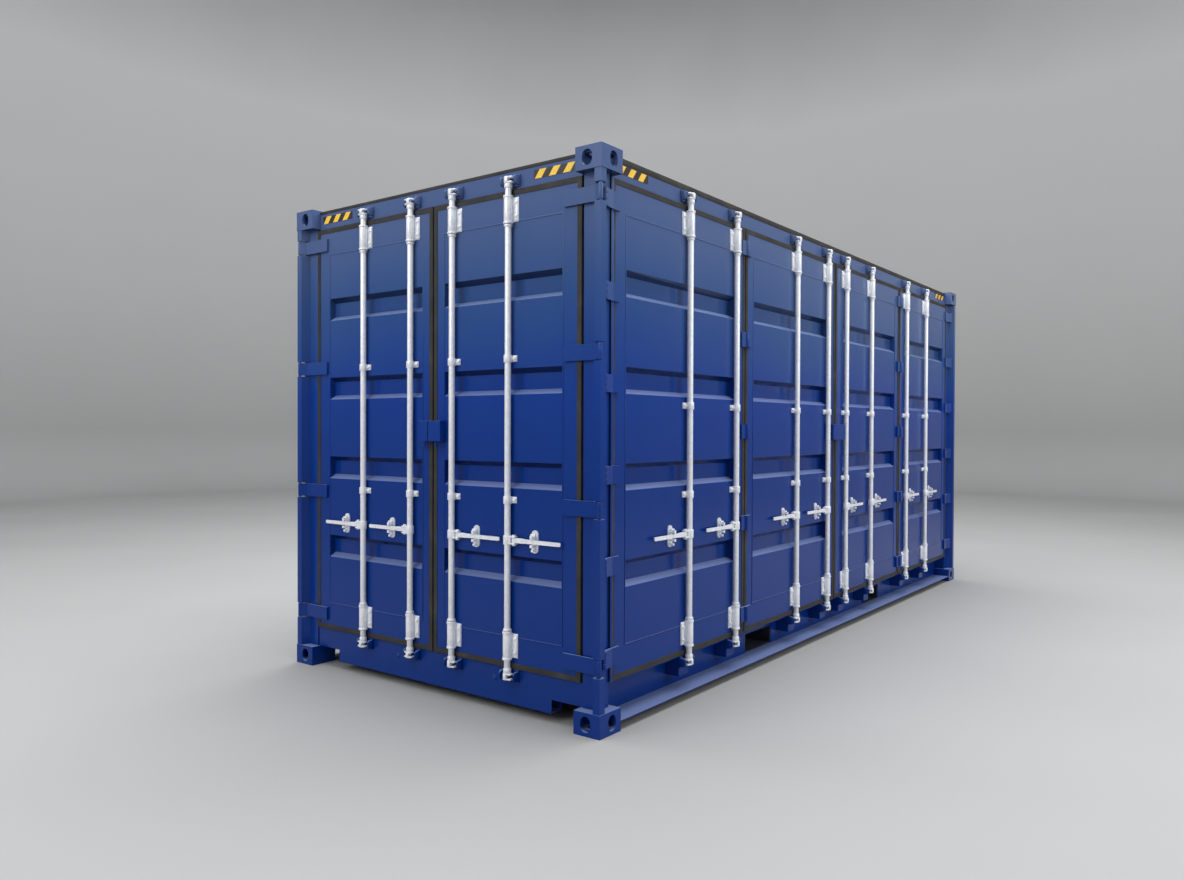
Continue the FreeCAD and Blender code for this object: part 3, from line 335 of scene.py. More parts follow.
def marine_enamel():
    material, shader, place = started("marine_enamel")
    height = add(shader, "SeparateXYZ", {"Vector": place})["Z"]
    cloud = add(shader, "TexNoise", {"Vector": place, "Scale": 0.9, "Detail": 3.0})["Fac"]
    uneven = add(shader, "Math", {0: cloud, 1: 0.5, 2: height},
                 [("operation", "MULTIPLY_ADD")])["Value"]
    # painted reflection of the sky: the blue turns lighter and greyer with height
    sky_reflection_share = add(shader, "MapRange", {"Value": uneven, "From Min": SKY_REFLECTION_STARTS,
                                    "From Max": SKY_REFLECTION_ENDS})["Result"]
    blue = add(shader, "ValToRGB", {"Fac": sky_reflection_share},
               stops=[(0.0, "#09317c"), (0.35, "#123989"),
                      (0.7, "#2f4f86"), (1.0, "#4c608c")])["Color"]
    tilt = add(shader, "SeparateXYZ", {"Vector": add(shader, "NewGeometry", {})["Normal"]})["Z"]
    flat = add(shader, "MapRange", {"Value": tilt, "From Min": 0.3, "From Max": 0.9})["Result"]
    # painted highlight on faces that look up, strong below the roof and weak on it
    top_light_share = add(shader, "MapRange", {"Value": height, "From Min": TOP_LIGHT_THINS_FROM,
                                    "From Max": TOP_LIGHT_THINS_TO, "To Min": 0.6, "To Max": 0.12})["Result"]
    painted_top_light_mask = add(shader, "Math", {0: flat, 1: top_light_share}, [("operation", "MULTIPLY")])["Value"]
    # painted shade on faces that look down
    painted_shade_mask = add(shader, "MapRange", {"Value": tilt, "From Min": -0.3, "From Max": -0.8,
                                        "To Max": 0.75})["Result"]
    top_lit = add(shader, "MixRGB", {"Fac": painted_top_light_mask, "Color1": blue, "Color2": PAINTED_TOP_LIGHT})["Color"]
    shaded = add(shader, "MixRGB", {"Fac": painted_shade_mask, "Color1": top_lit, "Color2": PAINTED_UNDER_SHADE})["Color"]
    runs = add(shader, "Mapping", {"Vector": place, "Scale": (1.0, 1.0, 0.12)})["Vector"]
    streaks = add(shader, "TexNoise", {"Vector": runs, "Scale": 16.0, "Detail": 4.0})["Fac"]
    gloss = add(shader, "MapRange", {"Value": streaks, "From Min": 0.3, "From Max": 0.7,
                                     "To Min": 0.16, "To Max": 0.23})["Result"]
    dulled = add(shader, "Math", {0: flat, 1: 0.3, 2: gloss},
                 [("operation", "MULTIPLY_ADD")])["Value"]
    # dimples 5 mm wide, coarser than real orange peel, so that they show
    peel = add(shader, "TexNoise", {"Vector": place, "Scale": 180.0, "Detail": 2.0})["Fac"]
    skin = add(shader, "Bump", {"Height": peel, "Strength": 0.2, "Distance": 0.0003})["Normal"]
    wire(shader, {"Base Color": shaded, "Roughness": dulled, "Normal": skin,
                  "IOR": 1.5, "Specular IOR Level": 0.2})
    return material


ENAMEL = marine_enamel()
print("enamel fades from", SKY_REFLECTION_STARTS, "to", SKY_REFLECTION_ENDS, "m")

# %% [markdown]
# ## Hot-dip galvanised steel
#
# Lock bars, handles and brackets are dipped in molten zinc.  It freezes as pale
# grey crystals a centimetre or two wide, each with a slightly different shine.  Its
# thin oxide scatters the light as pale chalk does, so the metallic value is low.

# %% Zinc for the lock gear
def galvanised_steel():
    material, shader, place = started("galvanised_steel")
    grains = add(shader, "TexVoronoi", {"Vector": place, "Scale": 70.0})    # 14 mm spangle
    tint = add(shader, "ValToRGB", {"Fac": grains["Color"]},
               stops=[(0.0, "#e2e6ed"), (0.5, "#eceff5"), (1.0, "#f6f8fb")])["Color"]
    shine = add(shader, "MapRange", {"Value": grains["Distance"],
                                     "To Min": 0.26, "To Max": 0.40})["Result"]
    # dross 4 mm wide, coarser than the real grit, so that it shows
    grit = add(shader, "TexNoise", {"Vector": place, "Scale": 260.0, "Detail": 3.0})["Fac"]
    skin = add(shader, "Bump", {"Height": grit, "Strength": 0.1, "Distance": 0.0001})["Normal"]
    wire(shader, {"Base Color": tint, "Roughness": shine, "Normal": skin, "Metallic": 0.22})
    return material


ZINC = galvanised_steel()
print("zinc has", len(ZINC.node_tree.nodes), "nodes")

# %% [markdown]
# ## Seal rubber
#
# The gaskets are extruded EPDM: matt, nearly black, greyed by dust that settles in
# patches a hand wide.

# %% Rubber for the gaskets
def epdm_rubber():
    material, shader, place = started("epdm_rubber")
    dust = add(shader, "TexNoise", {"Vector": place, "Scale": 7.0, "Detail": 5.0,
                                    "Roughness": 0.6})["Fac"]
    tint = add(shader, "ValToRGB", {"Fac": dust},
               stops=[(0.35, "#201e1c"), (0.6, "#2e2c2a"), (0.8, "#42403d")])["Color"]
    # pores 2.5 mm wide, coarser than the real skin, so that they show
    pores = add(shader, "TexNoise", {"Vector": place, "Scale": 400.0})["Fac"]
    skin = add(shader, "Bump", {"Height": pores, "Strength": 0.3, "Distance": 0.0003})["Normal"]
    wire(shader, {"Base Color": tint, "Normal": skin, "Roughness": 0.72, "IOR": 1.5})
    return material


RUBBER = epdm_rubber()
print("rubber has", len(RUBBER.node_tree.nodes), "nodes")

# %% [markdown]
# ## Plywood floor and underframe coating
#
# The floor is 28 mm tropical plywood in sheets 1.2 m wide, oiled and scuffed.  The
# cross-members and fork pockets below are sprayed with a dark bitumen coating that
# stays matt and a little lumpy.

# %% Wood and bitumen
def oiled_plywood():
    material, shader, place = started("oiled_plywood")
    along = add(shader, "Mapping", {"Vector": place, "Scale": (1.0, 14.0, 14.0)})["Vector"]
    grain = add(shader, "TexNoise", {"Vector": along, "Scale": 5.0, "Detail": 6.0,
                                     "Distortion": 0.6})["Fac"]
    wood = add(shader, "ValToRGB", {"Fac": grain},
               stops=[(0.3, "#5b3b24"), (0.5, "#7a5233"), (0.7, "#94683f")])["Color"]
    sheets = add(shader, "TexBrick", {"Vector": place, "Scale": 1.0, "Color1": (1, 1, 1, 1),
                                      "Color2": (0.82, 0.82, 0.82, 1),
                                      "Mortar": (0.25, 0.25, 0.25, 1), "Mortar Size": 0.002,
                                      "Brick Width": 2.4, "Row Height": 1.2})["Color"]
    laid = add(shader, "MixRGB", {"Fac": 1.0, "Color1": wood, "Color2": sheets},
               [("blend_type", "MULTIPLY")])["Color"]
    fibres = add(shader, "Bump", {"Height": grain, "Strength": 0.4, "Distance": 0.0006})["Normal"]
    wire(shader, {"Base Color": laid, "Normal": fibres, "Roughness": 0.55})
    return material


def bitumen_coat():
    material, shader, place = started("bitumen_coat")
    patches = add(shader, "TexNoise", {"Vector": place, "Scale": 9.0, "Detail": 4.0})["Fac"]
    tint = add(shader, "ValToRGB", {"Fac": patches},
               stops=[(0.35, "#10131d"), (0.7, "#22283a")])["Color"]
    # lumps 11 mm wide
    lumps = add(shader, "TexNoise", {"Vector": place, "Scale": 90.0, "Detail": 3.0})["Fac"]
    skin = add(shader, "Bump", {"Height": lumps, "Strength": 0.4, "Distance": 0.001})["Normal"]
    wire(shader, {"Base Color": tint, "Normal": skin, "Roughness": 0.7})
    return material


PLYWOOD = oiled_plywood()
BITUMEN = bitumen_coat()
print("floor and underframe finishes mixed")

# %% [markdown]
# ## Reflective stripe film
#
# A tall container is marked at its upper corners with slanted stripes of glass-bead
# film in yellow on black.  Film has a hard, even gloss, and the beads under it make a
# fine grain of lighter and darker dots.

# %% Yellow and black film
def stripe_film(name, dark, light):
    material, shader, place = started(name)
    # grain 4 mm wide, coarser than the real beads, so that it shows
    beads = add(shader, "TexNoise", {"Vector": place, "Scale": 240.0, "Detail": 2.0})["Fac"]
    tint = add(shader, "ValToRGB", {"Fac": beads}, stops=[(0.35, dark), (0.65, light)])["Color"]
    wire(shader, {"Base Color": tint, "Roughness": 0.3, "IOR": 1.5})
    return material


YELLOW_FILM = stripe_film("yellow_bead_film", "#f0b928", "#ffd95c")
BLACK_FILM = stripe_film("black_bead_film", "#241d1b", "#382e2b")
print("materials:", [material.name for material in bpy.data.materials])

# %% [markdown]
# ## Finish on the frame's own nodes
#
# The frame's shapes are right, so they stay.  Each gets the finish of its slot, and
# its folds and cut edges are eased with a small bevel, after a weld that joins its
# loose triangles.  A pressed sheet gets a rounder fold than a thick plate.

# %% Slots, bevels and shading
PAINTED_OVER = ("end_hinge_pins",)          # sprayed with the posts, though their slot is zinc
FINISHES = {"paint": ENAMEL, "galvanised": ZINC, "seal_rubber": RUBBER,
            "floor_plywood": PLYWOOD, "underframe_paint": BITUMEN}
PLATE_EASING = 0.0022
EASED = {"bottom_castings": 0.009, "top_castings": 0.009, "back_wall": 0.005,
         "end_wall": 0.005, "roof_panel": 0.004}
UNEASED = ("cross_members", "end_hinge_pins")

for part in frame["record"]["subparts"]:
    node = NODES[part["node"]]
    slot = "paint" if node.name in PAINTED_OVER else part["material_slot"]
    node.data.materials.clear()
    node.data.materials.append(FINISHES[slot])
    if node.name in UNEASED:
        continue
    weld = node.modifiers.new("weld", "WELD")
    weld.merge_threshold = 0.0001
    bevel = node.modifiers.new("eased_edges", "BEVEL")
    bevel.width = EASED.get(node.name, PLATE_EASING)
    bevel.segments = 2
    bevel.limit_method = "ANGLE"
    bevel.angle_limit = math.radians(28)
print("finished", len(NODES), "frame nodes")

# %% [markdown]
# ## The lock bar
#
# Each door is held shut by upright bars.  A bar is a 34 mm tube with a forged cam
# welded to each end, a stop ring beside each long bracket, and a handle at chest
# height that turns it.  The cam is a pair of round jaws, joined at the front by a
# cheek and open to the back, so that they bite over the keeper's lug and pull the door
# home when the bar turns.  The bar is modelled standing on the origin, with the door
# behind it at +Y and the handle along +X, and then copied to its places.

# %% Tube, cams and rings
BAR_RADIUS = 0.017
CAM_TALL = 0.050
JAW_RADIUS = 0.0235
JAW_THICK = 0.010
CAM_NECK = 0.014             # from the cam's foot to its inner jaw
NECK_RADIUS, CORE_RADIUS = 0.0215, 0.006
WELD_OVERLAP = 0.010         # a neck reaches this far back over the tube
WING_LOW, WING_HIGH = (0.004, -0.016), (0.034, 0.010)
CHEEK_LOW, CHEEK_HIGH = (-0.010, -0.0255), (0.010, -0.0125)
BRACKET_TALL = 0.150
BRACKET_LOW, BRACKET_HIGH = 0.290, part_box("end_bearings_right")[1].z - BRACKET_TALL
RING_OUTER, RING_INNER = 0.0225, 0.0165
RING_TALL, RING_GAP = 0.012, 0.002


def cam(name, foot, up):
    """A forged cam from its foot on the tube, pointing up (1) or down (-1)."""
    def between(start, end):
        return sorted((foot + up * start, foot + up * end))

    low, high = between(-WELD_OVERLAP, CAM_NECK)
    parts = [round_bar(name + "neck", (0, 0, low), NECK_RADIUS, high - low, round_off=0.003)]
    for label, start in (("inner_jaw", CAM_NECK), ("outer_jaw", CAM_TALL - JAW_THICK)):
        low, high = between(start, start + JAW_THICK)
        parts.append(round_bar(name + label, (0, 0, low), JAW_RADIUS, high - low, round_off=0.003))
        parts.append(block(name + label + "_wing", (*WING_LOW, low), (*WING_HIGH, high), 0.004))
    low, high = between(CAM_NECK + 0.002, CAM_TALL - 0.002)
    parts.append(block(name + "cheek", (*CHEEK_LOW, low), (*CHEEK_HIGH, high), 0.004))
    parts.append(round_bar(name + "core", (0, 0, low), CORE_RADIUS, high - low, sides=12))
    return parts


def bar_tube():
    low, high = BAR_LOW + CAM_TALL, BAR_HIGH - CAM_TALL
    tube = round_bar("tube", (0, 0, low), BAR_RADIUS, high - low, sides=32)
    over_low, under_high = BRACKET_LOW + BRACKET_TALL + RING_GAP, BRACKET_HIGH - RING_TALL - RING_GAP
    rings = [sleeve("ring", foot, foot + RING_TALL, RING_OUTER, RING_INNER)
             for foot in (over_low, under_high)]
    return [tube] + rings + cam("low_cam_", low, -1) + cam("high_cam_", high, 1)


print("tube is", round(BAR_HIGH - BAR_LOW - 2 * CAM_TALL, 3), "m long between its cams")

# %% [markdown]
# The handle is a flat bar hung in a forged fork by a bolt.  The fork is two cheeks
# above and below the blade, welded to a collar on the tube; the blade is drawn out
# thinner towards the hand, which is an extrude and a scale of its end face.

# %% Handle
HANDLE_REACH = 0.360
COLLAR_HALF = 0.024
BOLT_PLACE = 0.046           # from the bar's axis out to the fork's bolt
CHEEK_THICK = 0.008
BLADE_END = 0.110            # where the blade starts to thin
BLADE_SHOULDER, BLADE_TIP = 0.050, 0.008


def handle():
    height = HANDLE_HEIGHT
    collar = sleeve("handle_collar", height - COLLAR_HALF, height + COLLAR_HALF,
                    RING_OUTER, RING_INNER)
    back = block("fork_back", (0.014, -0.013, height - 0.020),
                 (0.030, 0.013, height + 0.020), 0.004)
    cheeks = [block("fork_cheek", (0.018, -0.015, low), (0.060, 0.015, low + CHEEK_THICK), 0.003)
              for low in (height - 0.022, height + 0.014)]
    bolt = round_bar("fork_bolt", (BOLT_PLACE, 0, height - 0.028), 0.006, 0.056, sides=12)
    heads = [round_bar("bolt_head", (BOLT_PLACE, 0, low), 0.0105, 0.007, sides=6)
             for low in (height - 0.029, height + 0.022)]
    blade = block("blade", (0.034, -0.006, height - 0.013),
                  (BLADE_END, 0.006, height + 0.013), 0.0015, 1)
    drawn = HANDLE_REACH - BLADE_END - BLADE_SHOULDER - BLADE_TIP
    bpy.ops.object.mode_set(mode="EDIT")
    pick(blade, lambda middle, way: way.x > 0.9)
    for step, shrink in ((BLADE_SHOULDER, 0.92), (drawn, 0.95), (BLADE_TIP, 0.75)):
        bpy.ops.mesh.extrude_region_move(TRANSFORM_OT_translate={"value": (step, 0, 0)})
        bpy.ops.transform.resize(value=(1, shrink, shrink))
    bpy.ops.object.mode_set(mode="OBJECT")
    return [collar, back, bolt, blade] + cheeks + heads


bar_model = smooth(welded("bar_model", bar_tube() + handle()))
print("lock bar:", len(bar_model.data.polygons), "faces")

# %% [markdown]
# ## Brackets the bars turn in
#
# A long bracket near each end of the bar is a pressed saddle with a wrapped collar
# at its top and bottom, bolted to the leaf through a flange on one side.  Two short
# guides between them are the same thing cut down.  A round sleeve would run into the
# leaf behind it, so a bisect cuts it off flat there.

# %% Long brackets and short guides
BORE = BAR_RADIUS + 0.0005
WRAP_OUTER, WRAP_TALL = 0.0265, 0.012


def bolt_head(x, z):
    """A hexagon head standing off the door face on a round washer."""
    washer = round_bar("washer", (x, BAR_STANDS_OFF - 0.0145, z), 0.0105, 0.003, axis="y", sides=16)
    head = round_bar("head", (x, BAR_STANDS_OFF - 0.019, z), 0.0075, 0.007, axis="y", sides=6)
    return [washer, head]


def flattened(piece):
    """Cuts a piece flat where it would run into the door leaf behind it."""
    hold(piece)
    bpy.ops.object.mode_set(mode="EDIT")
    bpy.ops.mesh.select_all(action="SELECT")
    bpy.ops.mesh.bisect(plane_co=(0, BAR_STANDS_OFF, 0), plane_no=(0, 1, 0),
                        use_fill=True, clear_outer=True)
    bpy.ops.object.mode_set(mode="OBJECT")
    return piece


def bracket(name, low, tall, reach, wall, bolts):
    """One bracket round the bar, with its flange out along +X.  Each bolt has its place
    along the flange and its share of the height."""
    body = flattened(sleeve(name + "_saddle", low, low + tall, BAR_RADIUS + wall, BORE))
    foot = block(name + "_foot", (-0.024, BAR_STANDS_OFF - 0.007, low + tall * 0.06),
                 (0.024, BAR_STANDS_OFF, low + tall * 0.94), 0.002)
    trim = tall * 0.07
    flange = block(name + "_flange", (0.016, BAR_STANDS_OFF - 0.006, low + trim),
                   (reach, BAR_STANDS_OFF, low + tall - trim), 0.0025)
    rib = block(name + "_rib", (reach - 0.026, BAR_STANDS_OFF - 0.012, low + trim * 1.3),
                (reach - 0.002, BAR_STANDS_OFF - 0.003, low + tall - trim * 1.3), 0.005, 3)
    parts = [body, foot, flange, rib]
    for x, share in bolts:
        parts += bolt_head(x, low + tall * share)
    return parts


LONG = {"tall": BRACKET_TALL, "reach": 0.058, "wall": 0.0065, "bolts": ((0.043, 0.26), (0.043, 0.74))}
GUIDE = {"tall": 0.040, "reach": 0.048, "wall": 0.0055, "bolts": ((0.035, 0.5),)}


def brackets(guide_heights):
    """The four brackets of one bar."""
    parts = []
    for label, low in (("low", BRACKET_LOW), ("high", BRACKET_HIGH)):
        parts += bracket("long_" + label, low, **LONG)
        for wrap in (low, low + BRACKET_TALL - WRAP_TALL):
            parts.append(flattened(sleeve("wrap", wrap, wrap + WRAP_TALL, WRAP_OUTER, BORE)))
    for label, low in zip(("guide_low", "guide_high"), guide_heights):
        parts += bracket(label, low, **GUIDE)
    return smooth(welded("brackets_model", parts))


end_brackets = brackets((1.115, 1.860))
side_brackets = brackets((1.126, 1.624))
print("brackets of one bar:", len(end_brackets.data.polygons), "faces")

# %% [markdown]
# ## Handle catch
#
# The handle drops into a catch: an oval plate bolted to the leaf, a cradle under
# the blade, and a hinged hasp folded down over it.  The oval is a block whose four
# corners, as seen from the front, are bevelled until they all but meet.

# %% Catch
CATCH_PLACE = 0.175          # from the bar's axis along the handle
OVAL_WIDE, OVAL_THICK, OVAL_TALL = 0.044, 0.006, 0.120


def catch():
    height = HANDLE_HEIGHT
    face = BAR_STANDS_OFF
    bpy.ops.object.select_all(action="DESELECT")
    bpy.ops.mesh.primitive_cube_add(size=1, location=(CATCH_PLACE, face - OVAL_THICK / 2, height))
    plate = bpy.context.object
    plate.scale = (OVAL_WIDE, OVAL_THICK, OVAL_TALL)
    settle(plate)
    bpy.ops.object.mode_set(mode="EDIT")
    pick_edges(plate, lambda middle, way: abs(way.y) > 0.9)
    bpy.ops.mesh.bevel(offset=OVAL_WIDE / 2 - 0.0002, segments=8, affect="EDGES")
    pick(plate, lambda middle, way: way.y < -0.9)
    bpy.ops.mesh.inset(thickness=0.004)
    bpy.ops.transform.translate(value=(0, 0.002, 0))
    bpy.ops.object.mode_set(mode="OBJECT")
    parts = [plate]
    for label, low, high in (("cradle", -0.027, -0.018), ("hasp", 0.018, 0.027)):
        parts.append(block(label, (CATCH_PLACE - 0.010, -0.013, height + low),
                           (CATCH_PLACE + 0.010, face - 0.004, height + high), 0.003))
    for label, low, high in (("cradle_lip", -0.030, -0.014), ("hasp_hood", 0.014, 0.034)):
        parts.append(block(label, (CATCH_PLACE - 0.008, -0.017, height + low),
                           (CATCH_PLACE + 0.008, -0.010, height + high), 0.003))
    hinge = round_bar("hasp_hinge", (CATCH_PLACE - 0.016, 0.004, height + 0.036),
                      0.006, 0.032, axis="x", sides=12)
    knob = round_bar("hasp_knob", (CATCH_PLACE, -0.006, height - 0.045),
                     0.008, 0.024, axis="y", sides=12)
    return smooth(welded("catch_model", parts + [hinge, knob]))


catch_model = catch()
print("catch:", len(catch_model.data.polygons), "faces")

# %% [markdown]
# ## The lock gear in its places
#
# Each model is copied to every bar's line, turned a quarter for the end doors, and
# mirrored where its handle points the other way.  What sits on one leaf moves as one,
# so it is joined; each end bar turns by itself, so it stays alone.

# %% Lock gear in its places
def gear_of_end_doors():
    """Bars, brackets and catches of both end leaves; each bar turns on its own body."""
    for body, y in BARS.items():
        spot = (END_AXIS, y, 0)
        bar = stood(bar_model, "lock_" + body, spot, -1, flipped=y > 0)
        yield bar, body, "galvanised", ["end_" + body]
    for side, sign in (("right", -1), ("left", 1)):
        spots = [(END_AXIS, y, 0) for y in BARS.values() if y * sign > 0]
        held = welded("bar_brackets_" + side,
                      [stood(end_brackets, "copy", spot, -1) for spot in spots])
        yield held, side + "_leaf", "galvanised", ["end_bearings_" + side]
        caught = welded("handle_catches_" + side,
                        [stood(catch_model, "copy", spot, -1, flipped=sign > 0) for spot in spots])
        yield caught, side + "_leaf", "galvanised", ["end_catches_" + side]


def gear_of_side_doors():
    """The same for the folding doors, which stay shut."""
    for name, model, node in (("side_bars_forged", bar_model, "side_lock_bars"),
                              ("side_brackets_pressed", side_brackets, "side_bearing_brackets"),
                              ("side_catches_forged", catch_model, "side_handle_catches")):
        # the brackets' flanges all point to the end doors; the handles point away from the middle
        copies = [stood(model, "copy", (x, SIDE_AXIS, 0), flipped=x < 0 or model is side_brackets)
                  for x in SIDE_BARS]
        yield welded(name, copies), "frame", "galvanised", [node]


for maker in (gear_of_end_doors, gear_of_side_doors):
    for piece, body, slot, replaced in list(maker()):
        declare(piece, body, slot, replaced, ZINC)
        print(piece.name, "rides on", body, "with", len(piece.data.polygons), "faces")
put_away(bar_model, end_brackets, side_brackets, catch_model)

# %% [markdown]
# ## Door gaskets
#
# Each leaf carries a rubber gasket round its rim: a deep outer leg that fills the gap
# to the frame, and a thin lip that laps over the front of the leaf.  It is a plane
# inset twice, its middle deleted, and the rings extruded to their two depths; the
# front edges are rolled over, as an extruded rubber's are.

# %% Gaskets
GASKET_LEG, GASKET_LIP = 0.016, 0.012
LIP_THICK = 0.003
TOUCHING = 1e-5              # nearer than this counts as on the line


def raised_ring(width, height, insets, depth):
    """In edit mode, an upright plane from x = 0 to width and z = 0 to height, inset in
    steps, emptied in the middle and extruded along Y."""
    bpy.ops.object.select_all(action="DESELECT")
    bpy.ops.mesh.primitive_plane_add(size=1, location=(width / 2, 0, height / 2),
                                     rotation=(math.pi / 2, 0, 0))
    ring = bpy.context.object
    ring.scale = (width, height, 1)
    settle(ring)
    bpy.ops.object.mode_set(mode="EDIT")
    bpy.ops.mesh.select_all(action="SELECT")
    for inset in insets:
        bpy.ops.mesh.inset(thickness=inset)
    bpy.ops.mesh.delete(type="FACE")
    bpy.ops.mesh.select_all(action="SELECT")
    bpy.ops.mesh.extrude_region_move(TRANSFORM_OT_translate={"value": (0, depth, 0)})
    return ring


def rolled(ring, test, offset):
    """Turns a ring's faces outwards, rolls over the edges that pass and leaves edit mode."""
    bpy.ops.mesh.select_all(action="SELECT")
    bpy.ops.mesh.normals_make_consistent(inside=False)
    pick_edges(ring, test)
    bpy.ops.mesh.bevel(offset=offset, segments=2, affect="EDGES")
    bpy.ops.object.mode_set(mode="OBJECT")
    return ring


def gasket(width, height, deep):
    """A gasket ring, its front at y = 0 and its leg reaching back this deep."""
    def from_rim(middle):
        return min(middle.x, width - middle.x, middle.z, height - middle.z)

    ring = raised_ring(width, height, (GASKET_LEG, GASKET_LIP), LIP_THICK)
    pick(ring, lambda middle, way: abs(way.y) > 0.9 and middle.y > LIP_THICK / 2
         and from_rim(middle) < GASKET_LEG)
    bpy.ops.mesh.extrude_region_move(TRANSFORM_OT_translate={"value": (0, deep - LIP_THICK, 0)})
    return rolled(ring, lambda middle, way: middle.y < TOUCHING
                  and not TOUCHING <= from_rim(middle) <= GASKET_LEG * 1.1, 0.0014)


def gaskets_of_end_doors():
    for side in ("right", "left"):
        low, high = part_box("end_seal_" + side)
        ring = gasket(high.y - low.y, high.z - low.z, high.x - low.x)
        piece = stood(ring, "gasket_" + side, (low.x, high.y, low.z), -1)
        put_away(ring)
        yield piece, side + "_leaf", "seal_rubber", ["end_seal_" + side]


def gaskets_of_side_doors():
    """Four rings, each as wide as its leaf and the two gasket legs beside it."""
    seal_low, seal_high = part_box("side_seals")
    rings = []
    for number in range(1, 5):
        low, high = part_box("side_leaf_%d" % number)
        width = high.x - low.x + 2 * GASKET_LEG
        ring = gasket(width, seal_high.z - seal_low.z, seal_high.y - seal_low.y)
        rings.append(stood(ring, "copy", (low.x - GASKET_LEG, seal_low.y, seal_low.z)))
        put_away(ring)
    yield welded("side_gaskets", rings), "frame", "seal_rubber", ["side_seals"]


for maker in (gaskets_of_end_doors, gaskets_of_side_doors):
    for piece, body, slot, replaced in list(maker()):
        declare(piece, body, slot, replaced, RUBBER)
        print(piece.name, "rides on", body)

# %% [markdown]
# ## Cam keepers
#
# The cams bite into keepers on the header and the sill.  A keeper is a casting: a
# round-cornered foot welded to the rail, a lug in the middle that the jaws close over,
# and a horn on each side that guides them in.  The lug and the horns start inside the
# foot and are joined to it, and each horn's tip is drawn out thinner by two extrudes.
# Keepers are painted with the frame.

# %% Keepers
RAIL_BEHIND = 0.035          # from a bar's axis back to the header's face
KEEPER_HALF, KEEPER_TALL, KEEPER_THICK = 0.056, 0.066, 0.009
LUG_HALF_WIDE, LUG_HALF_TALL = 0.0075, 0.006
HORN_WIDE, HORN_HALF_TALL = 0.014, 0.026
ROOT = RAIL_BEHIND - 0.004   # lugs and horns start inside the foot


def keeper(middle):
    """One keeper about a height, its foot on the rail behind the bar."""
    foot = block("foot", (-KEEPER_HALF, RAIL_BEHIND - KEEPER_THICK, middle - KEEPER_TALL / 2),
                 (KEEPER_HALF, RAIL_BEHIND, middle + KEEPER_TALL / 2), 0.003)
    lug = block("lug", (-LUG_HALF_WIDE, 0.008, middle - LUG_HALF_TALL),
                (LUG_HALF_WIDE, ROOT, middle + LUG_HALF_TALL), 0.003)
    parts = [foot, lug]
    for side in (-1, 1):
        low, high = sorted((side * (KEEPER_HALF - HORN_WIDE), side * KEEPER_HALF))
        horn = block("horn", (low, 0.004, middle - HORN_HALF_TALL),
                     (high, ROOT, middle + HORN_HALF_TALL), 0.0035)
        bpy.ops.object.mode_set(mode="EDIT")
        pick(horn, lambda centre, way: way.y < -0.9)
        for step, shrink in ((-0.008, 0.85), (-0.006, 0.6)):
            bpy.ops.mesh.extrude_region_move(TRANSFORM_OT_translate={"value": (0, step, 0)})
            bpy.ops.transform.resize(value=(shrink, 1, shrink))
        bpy.ops.object.mode_set(mode="OBJECT")
        parts.append(horn)
    return parts


CAM_MIDDLE = CAM_TALL - (CAM_TALL - CAM_NECK) / 2        # from the cam's foot to between its jaws
PAD_HALF, PAD_TOP = 0.050, 0.230                         # the block behind a low side keeper
keeper_pair = smooth(welded("keeper_pair", keeper(BAR_LOW + CAM_TALL - CAM_MIDDLE)
                            + keeper(BAR_HIGH - CAM_TALL + CAM_MIDDLE)))
end_set = [stood(keeper_pair, "copy", (END_AXIS, y, 0), -1) for y in BARS.values()]
declare(welded("end_cam_keepers", end_set), "frame", "paint", ["end_keepers"], ENAMEL)
keepers_low, keepers_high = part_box("side_keepers")
side_set = []
for x in SIDE_BARS:
    side_set.append(stood(keeper_pair, "copy", (x, SIDE_AXIS, 0)))
    side_set.append(block("pad", (x - PAD_HALF, SIDE_AXIS + RAIL_BEHIND, keepers_low.z),
                          (x + PAD_HALF, keepers_high.y, PAD_TOP), 0.004))
declare(welded("side_cam_keepers", side_set), "frame", "paint", ["side_keepers"], ENAMEL)
put_away(keeper_pair)
print("pairs of keepers:", len(end_set), "on the end,", len(SIDE_BARS), "on the side")

# %% [markdown]
# ## Weld beads round the door panels
#
# Each pressed panel is welded into its leaf's frame all round.  From a few steps away
# the weld is a fine raised line that catches the light.  It is made as the gaskets
# are: a plane as large as the panel, inset once, emptied, and extruded out by the
# bead's height, with its crest rounded.

# %% Weld beads
BEAD_WIDE, BEAD_PROUD = 0.007, 0.003
LEAF_RAIL = 0.152            # from a leaf's top and bottom edges to its panel
LEAVES = {                   # each leaf's body, and the stiles on its low and high sides
    "end_leaf_right": ("right_leaf", 0.107, 0.070), "end_leaf_left": ("left_leaf", 0.070, 0.107),
    "side_leaf_1": ("frame", 0.110, 0.115), "side_leaf_2": ("frame", 0.095, 0.134),
    "side_leaf_3": ("frame", 0.134, 0.095), "side_leaf_4": ("frame", 0.115, 0.110)}


def bead(width, height):
    """A bead ring, its back at y = 0."""
    ring = raised_ring(width, height, (BEAD_WIDE,), -BEAD_PROUD)
    return rolled(ring, lambda middle, way: middle.y < -BEAD_PROUD / 2
                  and max(abs(way.x), abs(way.z)) > 0.99, 0.0025)


def beads():
    for leaf, (body, first, last) in LEAVES.items():
        low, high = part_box(leaf)
        base = low.z + LEAF_RAIL - BEAD_WIDE
        tall = high.z - low.z - 2 * LEAF_RAIL + 2 * BEAD_WIDE
        if leaf.startswith("end"):
            span, turns = high.y - low.y, -1
            spot = (low.x, high.y - last + BEAD_WIDE, base)
        else:
            span, turns = high.x - low.x, 0
            spot = (low.x + first - BEAD_WIDE, low.y, base)
        ring = bead(span - first - last + 2 * BEAD_WIDE, tall)
        piece = stood(ring, "weld_" + leaf, spot, turns)
        put_away(ring)
        declare(smooth(piece, 60), body, "paint", [], ENAMEL)
        print(piece.name, "stands", round(tall, 3), "m tall")


beads()
